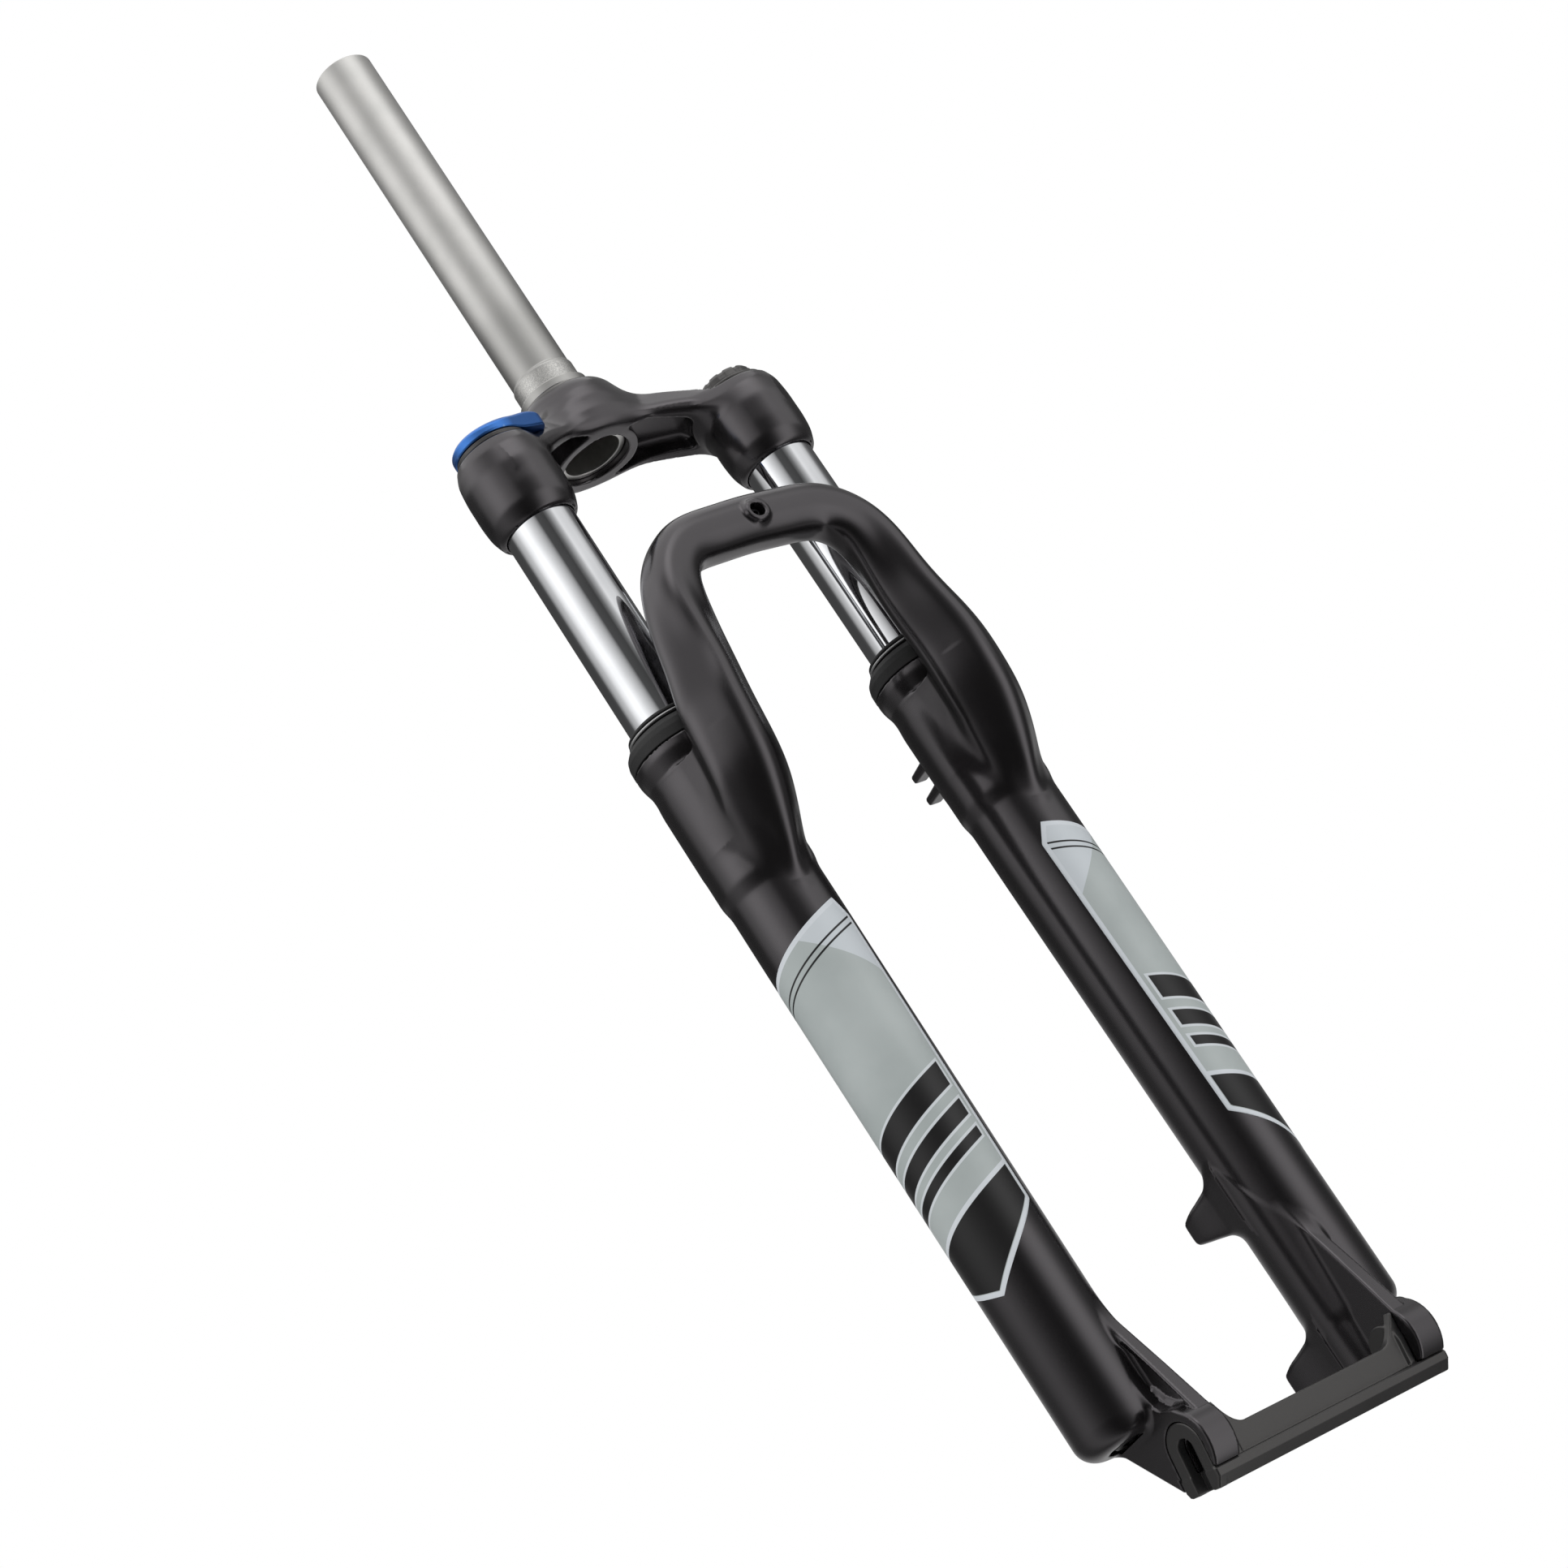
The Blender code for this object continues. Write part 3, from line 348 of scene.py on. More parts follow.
def newGroup(name, inputs, outputs):  # empty node group with these float inputs and outputs
    tree = bpy.data.node_groups.new(name, "ShaderNodeTree")
    for label, value in inputs.items():
        tree.interface.new_socket(label, in_out="INPUT", socket_type="NodeSocketFloat").default_value = value
    for label in outputs:
        tree.interface.new_socket(label, in_out="OUTPUT", socket_type="NodeSocketFloat")
    return tree, addNode(tree, "NodeGroupInput"), addNode(tree, "NodeGroupOutput")


def makeGrainGroup():  # fine peel and slow drift of tone, both from noise on the object's own axes
    tree, given, out = newGroup("paintGrain", {"Fine": 1500.0, "Slow": 22.0}, ("Peel", "Drift"))
    place = addNode(tree, "ShaderNodeTexCoord").outputs["Object"]
    peel = addNode(tree, "ShaderNodeTexNoise", {"Vector": place, "Scale": given.outputs["Fine"], "Detail": 3.0})
    drift = addNode(tree, "ShaderNodeTexNoise", {"Vector": place, "Scale": given.outputs["Slow"], "Detail": 4.0})
    tree.links.new(peel.outputs["Fac"], out.inputs["Peel"])
    tree.links.new(ramp(tree, drift.outputs["Fac"], 0.3, 0.7), out.inputs["Drift"])
    return tree


def makeEdgeHighlightGroup():  # painted highlight on convex edges found from the mesh, broken up by noise
    tree, given, out = newGroup("paintedEdgeHighlight", {"Sharpness": 0.53, "Breakup": 300.0}, ("PaintedHighlight",))
    place = addNode(tree, "ShaderNodeTexCoord").outputs["Object"]
    bend = addNode(tree, "ShaderNodeNewGeometry").outputs["Pointiness"]
    top = calc(tree, "ADD", given.outputs["Sharpness"], 0.08)
    rise = addNode(tree, "ShaderNodeMapRange", {"Value": bend, "From Min": given.outputs["Sharpness"],
                                                "From Max": top}).outputs["Result"]
    noise = addNode(tree, "ShaderNodeTexNoise", {"Vector": place, "Scale": given.outputs["Breakup"], "Detail": 5.0})
    broken = ramp(tree, noise.outputs["Fac"], 0.35, 0.65, 0.35, 1.0)
    tree.links.new(calc(tree, "MULTIPLY", rise, broken, True), out.inputs["PaintedHighlight"])
    return tree


def makeBrushGroup():  # noise drawn out along one direction: lathe marks, blasting and wiping streaks
    tree, given, out = newGroup("drawnStreaks", {"Across": 900.0, "Along": 30.0}, ("Streak", "Cloud"))
    place = addNode(tree, "ShaderNodeTexCoord").outputs["Object"]
    stretch = addNode(tree, "ShaderNodeCombineXYZ", {"X": given.outputs["Across"], "Y": given.outputs["Across"],
                                                     "Z": given.outputs["Along"]}).outputs[0]
    moved = addNode(tree, "ShaderNodeVectorMath", {0: place, 1: stretch}, operation="MULTIPLY").outputs[0]
    streak = addNode(tree, "ShaderNodeTexNoise", {"Vector": moved, "Scale": 1.0, "Detail": 4.0})
    cloud = addNode(tree, "ShaderNodeTexNoise", {"Vector": place, "Scale": 45.0, "Detail": 5.0})
    tree.links.new(streak.outputs["Fac"], out.inputs["Streak"])
    tree.links.new(ramp(tree, cloud.outputs["Fac"], 0.3, 0.7), out.inputs["Cloud"])
    return tree


grainGroup, edgeHighlightGroup, brushGroup = makeGrainGroup(), makeEdgeHighlightGroup(), makeBrushGroup()


def useGroup(tree, group, **values):  # places a group with its own values and gives back its outputs
    node = addNode(tree, "ShaderNodeGroup", node_tree=group)
    for key, value in values.items():
        node.inputs[key].default_value = value
    return node.outputs


def bumpFrom(tree, height, distance, strength):  # surface normal from a height in 0 to 1 and its depth in metres
    return addNode(tree, "ShaderNodeBump", {"Height": height, "Distance": distance, "Strength": strength}).outputs[0]


def newMaterial(name, metallic=0.0, ior=1.5, tint=(1.0, 1.0, 1.0)):
    # Principled material with the values that are the same all over its surface
    material = bpy.data.materials.new(name)
    material.use_nodes = True
    tree = material.node_tree
    shader = tree.nodes["Principled BSDF"]
    shader.inputs["Metallic"].default_value = metallic
    shader.inputs["IOR"].default_value = ior
    shader.inputs["Specular Tint"].default_value = (*tint, 1)
    return material, tree, shader


def linkFinish(tree, shader, tone, marks, look, relief=None, bump=0.5):
    # roughness is a base plus a share of the marks; the marks are the relief too, unless another is given
    rough = calc(tree, "MULTIPLY_ADD", marks, look["roughSpread"])
    rough.node.inputs[2].default_value = look["rough"]
    tree.links.new(tone, shader.inputs["Base Color"])
    tree.links.new(rough, shader.inputs["Roughness"])
    relief = marks if relief is None else relief
    normal = bumpFrom(tree, relief, look["depth"], look.get("bump", bump))
    tree.links.new(normal, shader.inputs["Normal"])


def coatedMaterial(name, look):
    # plain finish: colour drifts between two tones, convex edges take a lighter third as a painted highlight, roughness
    # follows the grain
    material, tree, shader = newMaterial(name, look.get("metallic", 0.0), look.get("ior", 1.5),
                                         look.get("tint", (1, 1, 1)))
    grain = useGroup(tree, grainGroup, Fine=look["fine"], Slow=look.get("slow", 22.0))
    edgeHighlight = useGroup(tree, edgeHighlightGroup)
    tone = mixColour(tree, grain["Drift"], (*look["dark"], 1), (*look["light"], 1))
    # painted highlight: convex edges lightened towards the look's edge tone
    tone = mixColour(tree, calc(tree, "MULTIPLY", edgeHighlight["PaintedHighlight"], look.get("edgeHighlight", 0.5)), tone, (*look["edge"], 1))
    linkFinish(tree, shader, tone, grain["Peel"], look)
    return material


# each look's edge tone is a painted highlight laid on convex edges
coatedLooks = {
    "satinBlackPaint": {"dark": (0.0052, 0.0049, 0.0053), "light": (0.0072, 0.0067, 0.0070),
                        "edge": (0.020, 0.019, 0.0205), "fine": 1300.0, "slow": 16.0, "rough": 0.19,
                        "roughSpread": 0.08, "depth": 0.00003, "bump": 0.22, "ior": 1.9, "tint": (1.0, 0.945, 0.99)},
    "mouldedBlackPlastic": {"dark": (0.013, 0.013, 0.0135), "light": (0.018, 0.018, 0.0185),
                            "edge": (0.04, 0.04, 0.042), "fine": 2200.0, "rough": 0.26, "roughSpread": 0.16,
                            "depth": 0.00005, "ior": 1.8, "tint": (1.0, 0.965, 0.94)},
    "wiperRubber": {"dark": (0.012, 0.012, 0.0125), "light": (0.018, 0.018, 0.018), "edge": (0.03, 0.03, 0.03),
                    "fine": 1800.0, "rough": 0.50, "roughSpread": 0.2, "depth": 0.00004},
    # the blue lever's pale edge tone, at strength 0.9, is a painted highlight on its rims
    "blueAnodised": {"dark": (0.070, 0.225, 0.66), "light": (0.085, 0.260, 0.74), "edge": (0.36, 0.58, 0.90),
                     "metallic": 1.0, "fine": 2600.0, "rough": 0.30, "roughSpread": 0.14, "depth": 0.00003,
                     "bump": 0.4, "edgeHighlight": 0.9},
    "whiteNylon": {"dark": (0.66, 0.66, 0.62), "light": (0.74, 0.74, 0.70), "edge": (0.8, 0.8, 0.77),
                   "fine": 900.0, "rough": 0.38, "roughSpread": 0.1, "depth": 0.00003},
    "yellowElastomer": {"dark": (0.26, 0.23, 0.04), "light": (0.34, 0.30, 0.06), "edge": (0.4, 0.36, 0.1),
                        "fine": 1500.0, "rough": 0.6, "roughSpread": 0.15, "depth": 0.00006},
}
satinPaint, mouldedPlastic, wiperRubber, blueAnodised, whiteNylon, yellowElastomer = (
    coatedMaterial(name, look) for name, look in coatedLooks.items())


def metalMaterial(name, look):
    # bare metal: streaks along the piece change its roughness and relief, clouds change its tone
    material, tree, shader = newMaterial(name, 1.0)
    streaks = useGroup(tree, brushGroup, Across=look["across"], Along=look["along"])
    tone = mixColour(tree, streaks["Cloud"], (*look["dark"], 1), (*look["light"], 1))
    linkFinish(tree, shader, tone, streaks["Streak"], look, bump=0.4)
    return material


metalLooks = {
    "mirrorChrome": {"dark": (0.76, 0.77, 0.79), "light": (0.83, 0.84, 0.86), "across": 700.0, "along": 12.0,
                     "rough": 0.03, "roughSpread": 0.05, "depth": 0.000002, "bump": 0.15},
    "boltSteel": {"dark": (0.42, 0.42, 0.42), "light": (0.56, 0.56, 0.56), "across": 500.0, "along": 900.0,
                  "rough": 0.22, "roughSpread": 0.16, "depth": 0.00002},
    "blackOxideSteel": {"dark": (0.035, 0.035, 0.037), "light": (0.06, 0.06, 0.062), "across": 900.0,
                        "along": 900.0, "rough": 0.34, "roughSpread": 0.15, "depth": 0.00002},
    "turnedAluminium": {"dark": (0.62, 0.62, 0.63), "light": (0.72, 0.72, 0.73), "across": 60.0, "along": 2600.0,
                        "rough": 0.26, "roughSpread": 0.16, "depth": 0.00002},
    "bushingBronze": {"dark": (0.36, 0.25, 0.13), "light": (0.46, 0.33, 0.19), "across": 200.0, "along": 1500.0,
                      "rough": 0.36, "roughSpread": 0.2, "depth": 0.00002},
    "springWire": {"dark": (0.20, 0.20, 0.21), "light": (0.30, 0.30, 0.31), "across": 500.0, "along": 500.0,
                   "rough": 0.3, "roughSpread": 0.15, "depth": 0.00002},
}
mirrorChrome, boltSteel, blackOxide, turnedAluminium, bushingBronze, springWire = (
    metalMaterial(name, look) for name, look in metalLooks.items())


def makeBlastedSteel(look):
    # blasted tube: fine pits everywhere, a duller band low down, and a scuffed ring where the crown race sits
    material, tree, shader = newMaterial("blastedSteel", 1.0)
    cloud = useGroup(tree, brushGroup)["Cloud"]
    grain = useGroup(tree, grainGroup, Fine=look["fine"])
    place = addNode(tree, "ShaderNodeTexCoord").outputs["Object"]
    height = addNode(tree, "ShaderNodeSeparateXYZ", {0: place}).outputs["Z"]
    band = calc(tree, "MULTIPLY", ramp(tree, height, look["bandTop"] + 0.012, look["bandTop"] - 0.012),
                ramp(tree, height, -0.02, -0.01))
    ringLow = ramp(tree, height, look["ringLow"] - 0.001, look["ringLow"] + 0.001)
    ringHigh = ramp(tree, height, look["ringHigh"] + 0.0015, look["ringHigh"] - 0.0015)
    ring = calc(tree, "MULTIPLY", ringLow, ringHigh)
    scuffNoise = addNode(tree, "ShaderNodeTexNoise", {"Vector": place, "Scale": look["scuff"], "Detail": 8.0,
                                                      "Roughness": 0.7})
    scuff = calc(tree, "MULTIPLY", ring, ramp(tree, scuffNoise.outputs["Fac"], 0.42, 0.66))
    tone = mixColour(tree, cloud, (*look["dark"], 1), (*look["light"], 1))
    tone = mixColour(tree, calc(tree, "MULTIPLY", band, look["bandDepth"]), tone, (*look["band"], 1))
    tone = mixColour(tree, scuff, tone, (*look["scuffTone"], 1))
    pits = calc(tree, "ADD", grain["Peel"], calc(tree, "MULTIPLY", scuffNoise.outputs["Fac"], ring))
    linkFinish(tree, shader, tone, grain["Peel"], look, pits)
    return material


blastedLook = {"dark": (0.61, 0.605, 0.585), "light": (0.68, 0.67, 0.65), "band": (0.46, 0.455, 0.44),
               "bandDepth": 0.75, "bandTop": 0.047, "ringLow": 0.0, "ringHigh": 0.0085, "scuffTone": (0.84, 0.83, 0.80),
               "scuff": 1900.0, "fine": 2400.0, "rough": 0.30, "roughSpread": 0.12, "depth": 0.00003}
blastedSteel = makeBlastedSteel(blastedLook)
print("materials made")


# Steerer: a plain tube with a race seat and the steel shoulder under it

steerer = {"radius": 14.3, "bore": 12.7, "top": 198.0, "seatRadius": 15.0, "shoulder": 16.8, "foot": -35.0, "lip": 16.5}


def makeSteerer(v):  # tube profile turned about the steering axis
    corners = [(v["radius"], v["top"]), (v["radius"], 10.4), (v["seatRadius"], 9.4), (v["seatRadius"], 0.0),
               (v["shoulder"], 0.0), (v["shoulder"], -4.2), (v["seatRadius"], -4.2), (v["seatRadius"], v["foot"] + 5),
               (v["lip"], v["foot"] + 5), (v["lip"], v["foot"]), (v["bore"] + 0.9, v["foot"]), (v["bore"] + 0.9, -10.0),
               (v["bore"], 15.0), (v["bore"], v["top"])]
    turnedPiece("steererTube", corners, (0, 0), blastedSteel, "chassis", ("steerer_tube",), 0.5, 128)


makeSteerer(steerer)


# Crown: neck, two arms and two sockets blended into one forging, hollowed from below

crown = {
    "neck": [(17.4, -4.5), (20.4, -6.2), (22.6, -8.0), (24.4, -10.8), (25.4, -14.5), (25.8, -19.0), (25.2, -27.0),
             (22.8, -35.0)],
    "socket": [(18.0, -39.0), (20.4, -44.0), (21.2, -53.0), (21.2, -66.0), (20.6, -73.0), (18.9, -78.0), (17.9, -80.0)],
    "arms": [(0.0, 0.0, 22.5, -12.5, -34.6, -31.4, -18.0), (16.0, -2.5, 21.0, -14.5, -35.8, -31.6, -19.5),
             (32.0, -9.5, 18.5, -20.5, -41.0, -34.8, -24.3), (48.0, -18.0, 16.5, -27.5, -49.5, -41.8, -32.6),
             (65.0, -26.0, 14.5, -34.0, -58.0, -50.0, -40.0)],
    "armEnd": 66.0, "neckTop": -4.5, "neckFoot": -35.0, "socketTop": -39.0, "socketFoot": -80.0,
    "rim": [(0.0, 2.6), (20.0, 3.2), (42.0, 6.0)], "pocket": 8.0, "neckWall": 21.6, "socketWall": 25.2,
    "steererHole": 15.3, "lipHole": 16.8, "lipTop": -29.7, "tubeHole": 16.3, "tubeTop": -44.3, "plugHole": 14.5,
    "capHole": 18.2, "capFloor": -39.1, "swingFloor": -36.6, "swingReach": 31.5, "step": 0.85,
}
neckTable = smoothTable(crown["neck"], 0.8)
socketTable = smoothTable(crown["socket"], 1.6)
armKnots = np.array(crown["arms"])
armSpline = splineThrough(armKnots[:, 0], armKnots[:, 1:])


def crownField(x, y, z):
    # arm sections follow cubics of the distance from the middle; neck and sockets are turned; all are blended
    v = crown
    out = np.abs(x)
    station = splineAt(armSpline, np.clip(out, 0, v["armEnd"]))[0]
    middle, depth, top, bottom, ridge, brow = np.moveaxis(station, -1, 0)
    across = y - middle
    behind = across + depth
    roof = brow + (top - brow) * (behind - 5.5) / (2 * depth - 5.5)
    facet = (z - ridge - 1.75 * behind) * 0.496
    arm = roundMax(roundMax(-behind, facet, 0.9), (z - roof) * 0.97, 1.8)
    arm = roundMax(arm, across - depth, 3.5)
    arm = roundMax(arm, (bottom + 1.8 - z - 0.7 * behind) * 0.82, 0.8)
    arm = np.maximum(roundMax(arm, bottom - z, 1.0), out - v["armEnd"])
    around, aroundLeg = np.hypot(x, y), np.hypot(out - legX, y - legY)
    neck = roundMax(roundMax(around - tableAt(neckTable, z), z - v["neckTop"], 0.8), v["neckFoot"] - z, 1.2)
    socket = roundMax(aroundLeg - tableAt(socketTable, z), z - v["socketTop"], 1.4)
    socket = roundMax(socket, v["socketFoot"] - z, 2.2)
    body = softMin(softMin(arm, neck, 12.0), socket, 9.0)
    rim = np.interp(out, *np.transpose(v["rim"]))
    hollow = roundMax(np.abs(across) - depth + rim, z - bottom - v["pocket"], 3.0)
    hollow = roundMax(roundMax(hollow, v["neckWall"] - around, 2.4), v["socketWall"] - aroundLeg, 4.0)
    body = roundMax(body, -hollow, 0.9)
    seat = np.minimum(np.maximum(around - v["steererHole"], -34.0 - z),
                      np.maximum(around - v["lipHole"], z - v["lipTop"]))
    body = roundMax(body, -seat, 0.5)
    bore = np.minimum(np.maximum(aroundLeg - v["tubeHole"], z - v["tubeTop"]),
                      np.maximum(aroundLeg - v["plugHole"], -45.0 - z))
    bore = np.minimum(bore, np.maximum(aroundLeg - v["capHole"], v["capFloor"] - z))
    swing = (aroundLeg - v["capHole"] - 2.217 * (z - v["swingFloor"])) * 0.411
    swing = np.maximum(np.maximum(swing, aroundLeg - v["swingReach"]), np.maximum(v["swingFloor"] - z, x + 10.0))
    return roundMax(roundMax(body, -bore, 0.5), -swing, 1.5)


def gridLines(low, high, step):  # evenly spaced lines from low to high
    return np.arange(low, high + step, step)


def makeCrown(v):  # zero surface of the crown's field
    lines = (gridLines(-89, 89, v["step"]), gridLines(-50, 29, v["step"]), gridLines(-83, -2, v["step"]))
    fieldPiece("crownForging", crownField, lines, satinPaint, "chassis", ("crown",))


makeCrown(crown)


# Stanchions: chromed tubes

stanchion = {"radius": 16.0, "bore": 14.0, "top": -44.6, "end": -375.0}


def makeStanchions(v):  # tube with a chamfered end turned about each leg
    corners = [(v["radius"], v["top"]), (v["radius"], v["end"] + 1.0), (v["radius"] - 1.0, v["end"]),
               (v["bore"], v["end"]), (v["bore"], v["top"])]
    for name, side in sides.items():
        turnedPiece(f"stanchionTube{name}", corners, (side * legX, legY), mirrorChrome, "chassis",
                    (f"stanchion_{name.lower()}",), 0.3, 360)


makeStanchions(stanchion)


# Lockout lever, its screw and the cap under it

lever = {"radius": 17.0, "tip": 8.6, "span": 21.6, "top": -30.4, "bevel": 1.9, "dish": 11.4, "dishFloor": -31.4,
         "dishEnd": 6.0, "hole": 2.6, "headHole": 5.0, "headFloor": -32.0, "step": 0.4,
         "rise": [(-17.0, -36.2, -30.4), (2.0, -36.2, -30.2), (12.0, -36.0, -27.9), (20.0, -34.6, -25.6),
                  (26.0, -33.2, -25.0), (31.0, -32.4, -25.4)]}
riseKnots = np.array(lever["rise"])
riseSpline = splineThrough(riseKnots[:, 0], riseKnots[:, 1:])


def leverField(x, y, z):
    # tear-drop outline between two surfaces that rise to the thumb pad
    v = lever
    u, w = x + legX, np.abs(y - legY)
    plan = tearDrop(u, w, v["radius"], v["tip"], v["span"])
    under, over = np.moveaxis(splineAt(riseSpline, np.clip(u, v["rise"][0][0], v["rise"][-1][0]))[0], -1, 0)
    tall = (over - under) / 2
    body = roundMax(plan, np.abs(z - over + tall) - tall, 0.9)
    body = roundMax(body, (plan + v["bevel"] + z - over) * 0.7071, 0.5)
    around = np.hypot(u, w)
    dish = roundMax(around - v["dish"], v["dishFloor"] - z, 0.6)
    body = roundMax(body, -np.maximum(dish, u - v["dishEnd"]), 0.5)
    hole = np.minimum(around - v["hole"], np.maximum(around - v["headHole"], v["headFloor"] - z))
    return roundMax(body, -hole, 0.3)


def makeLever(v):  # zero surface of the lever's field, then the screw and the cap turned about the leg's axis
    lines = (gridLines(-84, -33, v["step"]), gridLines(-45, -7, v["step"]), gridLines(-38, -23.5, v["step"]))
    fieldPiece("lockoutLeverBlue", leverField, lines, blueAnodised, "lockout", ("lockout_lever",),
               120000)
    axis = (-legX, legY)
    head = v["top"] + 0.6
    corners = [(0.01, head - 2.4), (2.0, head - 2.4), (2.1, head), (3.7, head - 0.1), (4.4, head - 0.9), (4.4, -31.7),
               (2.2, -31.7), (2.2, -46.0), (0.01, -46.6)]
    turnedPiece("leverScrewHead", corners, axis, boltSteel, "lockout", ("lever_screw",), 0.25, 96,
                {"corner": 2.2, "facing": 1.0, "floor": -32.6})
    corners = [(16.4, -36.5), (16.8, -36.9), (16.8, -38.7), (13.7, -38.7), (13.7, -58.0), (4.4, -58.0), (4.4, -36.5)]
    turnedPiece("damperCap", corners, axis, mouldedPlastic, "chassis", ("damper_top_cap",), 0.3)


makeLever(lever)


# Preload knob with finger notches, on its stepped cap

knob = {"base": -36.6, "top": -30.8, "notches": 10, "notchDepth": 1.0, "notchWidth": 0.2}


def makeKnob(v):
    # turned profile whose outer wall steps in at evenly spaced notches: radius less depth times a flat-topped wave
    axis = (legX, legY)
    corners = [(0.01, v["top"] - 0.8), (8.4, v["top"] - 0.8), (9.3, v["top"]), (11.9, v["top"] - 0.4),
               (13.2, v["top"] - 2.2), (13.6, v["base"] + 0.9), (13.6, v["base"]), (4.4, v["base"]),
               (4.4, v["base"] + 3.0), (0.01, v["base"] + 3.0)]
    profile = roundedProfile(corners, 0.35)
    steps = 240
    points = turnedPoints(profile, axis, steps)
    wave = (circle(steps)[:, None] * v["notches"] / (2 * np.pi)) % 1.0
    notch = np.clip((v["notchWidth"] - np.abs(wave - 0.5)) / 0.05, 0, 1)
    low = np.clip((profile[:, 1] - v["base"] - 1.5) / 0.3, 0, 1)
    wall = np.clip((profile[:, 0] - 10.2) / 0.6, 0, 1) * low
    shrink = 1 - notch * v["notchDepth"] * wall[None, :] / np.maximum(profile[None, :, 0], 1)
    scaleAbout(points, axis, shrink)
    faces = gridFaces(steps, len(profile), True, True)
    addPiece("preloadKnobGrip", points.reshape(-1, 3), faces, mouldedPlastic, "preload", ("preload_knob",),
             weld=True)
    corners = [(15.6, v["base"] - 0.3), (16.6, v["base"] - 1.0), (16.6, -38.7), (13.7, -38.7), (13.7, -58.0),
               (4.4, -58.0), (4.4, v["base"] - 0.3)]
    turnedPiece("springCap", corners, axis, mouldedPlastic, "chassis", ("spring_top_cap",), 0.3, 128)


makeKnob(knob)


# Lower casting: legs, arch, dropouts, brake posts, hose guides and boss, blended into one piece

casting = {
    "top": -200.3, "notch": -211.0, "end": -536.5, "footRound": 9.0,
    "leg": [(23.5, -200.3), (23.6, -203.6), (23.0, -206.5), (21.7, -211.0), (21.5, -214.0), (22.0, -220.0),
            (22.0, -267.5), (20.9, -273.0), (20.9, -300.0), (20.2, -480.0), (20.0, -536.5)],
    "arch": [(65.0, -38.0, -279.0, 6.0, 6.0, 45.0), (64.7, -44.2, -265.0, 9.2, 9.2, 45.0),
             (64.6, -47.8, -254.0, 12.0, 12.0, 45.0), (64.1, -52.4, -238.0, 14.6, 14.6, 45.0),
             (63.2, -55.5, -221.0, 15.2, 15.2, 45.0), (62.2, -57.1, -203.0, 15.1, 15.1, 45.0),
             (58.9, -58.2, -183.0, 14.0, 14.0, 44.0), (56.9, -58.8, -170.0, 13.2, 13.2, 38.0),
             (54.8, -60.0, -157.0, 12.5, 12.3, 28.0), (48.4, -61.7, -138.5, 11.6, 11.2, 10.0),
             (36.4, -62.0, -128.2, 11.7, 11.0, 2.0), (18.0, -62.0, -125.4, 11.8, 11.0, 0.0),
             (0.0, -62.0, -124.8, 11.8, 11.0, 0.0)],
    "blend": [(4.0, -290.0), (4.0, -274.0), (6.0, -264.0), (10.0, -252.0), (12.0, -242.0), (10.0, -234.0),
              (4.0, -222.0), (0.5, -213.0), (0.4, -190.0)],
    "gusset": {"top": -211.6, "end": -283.0, "fade": -252.0, "inset": 0.7},
    "web": [(-28.0, -452.0), (-40.0, -482.5), (-54.2, -519.6), (-61.0, -538.2), (-65.2, -549.6), (-62.0, -557.0),
            (-35.7, -564.8), (-13.3, -536.2), (-12.0, -520.0), (-14.0, -452.0)],
    "pocket": [(-42.5, -494.0), (-53.0, -518.6), (-59.4, -536.8), (-58.6, -539.2), (-56.0, -539.4), (-50.6, -536.0),
               (-47.6, -532.0), (-45.6, -527.0), (-36.0, -522.0), (-36.0, -494.0)],
    "lug": [(-45.6, -527.0), (-47.6, -532.0), (-50.6, -536.0), (-56.0, -539.4), (-50.0, -560.0), (-35.7, -564.8),
            (-13.3, -536.2), (-12.0, -520.0), (-30.0, -513.0), (-43.0, -518.0)],
    "post": [(-24.0, 56.0, -1.5, 11.0, 15.5), (-13.0, 53.6, -0.8, 9.0, 12.0), (-4.0, 51.4, -0.3, 7.8, 9.2),
             (2.0, 50.3, 0.0, 7.2, 7.6), (7.5, 50.0, 0.0, 6.8, 5.8)],
    "postHeights": (-465.0, -539.2), "postMiddle": 50.0, "postHole": 2.6, "postHoleEnd": -4.5,
    "inner": ((-545.0, -495.0), (50.0, 52.0)), "plateFace": 57.8, "dishFace": 56.8, "dishRim": 2.6,
    "lugFace": 63.4, "lugRound": 15.4, "tipBelow": 9.4, "tipBehind": 12.4, "slot": 4.6, "seat": 11.3, "seatFace": 59.0,
    "skirt": 19.9, "skirtFace": 55.0, "guideHeights": (-230.0, -242.0), "guideMiddle": 60.5, "guideEnd": 10.8,
    "bossHeight": -126.0, "bossFront": -75.0, "boss": 5.6, "bossHole": 3.2, "bossFloor": -68.0,
    "notchReach": 25.6, "sealBore": 20.3, "sealFloor": -211.0, "bore": 18.0, "boreFloor": -512.0,
    "boltHole": 4.6, "recess": 9.2, "recessTop": -528.5, "recessFace": 63.7, "recessFoot": -536.6,
}
legTable = smoothTable(casting["leg"], 1.5)
blendTable = smoothTable(casting["blend"], 2.0)
archKnots = np.array(casting["arch"])
archRun = np.concatenate([[0], np.cumsum(np.linalg.norm(np.diff(archKnots[:, [0, 2]], axis=0), axis=1))])
archSpline = splineThrough(archRun, archKnots, np.array([-1.0, 0, 0, 0, 0, 0]))
limbSpline = splineThrough(archKnots[:6, 2], archKnots[:6, [0, 1, 3]])
postKnots = np.array(casting["post"])
postSpline = splineThrough(postKnots[:, 0], postKnots[:, 1:])


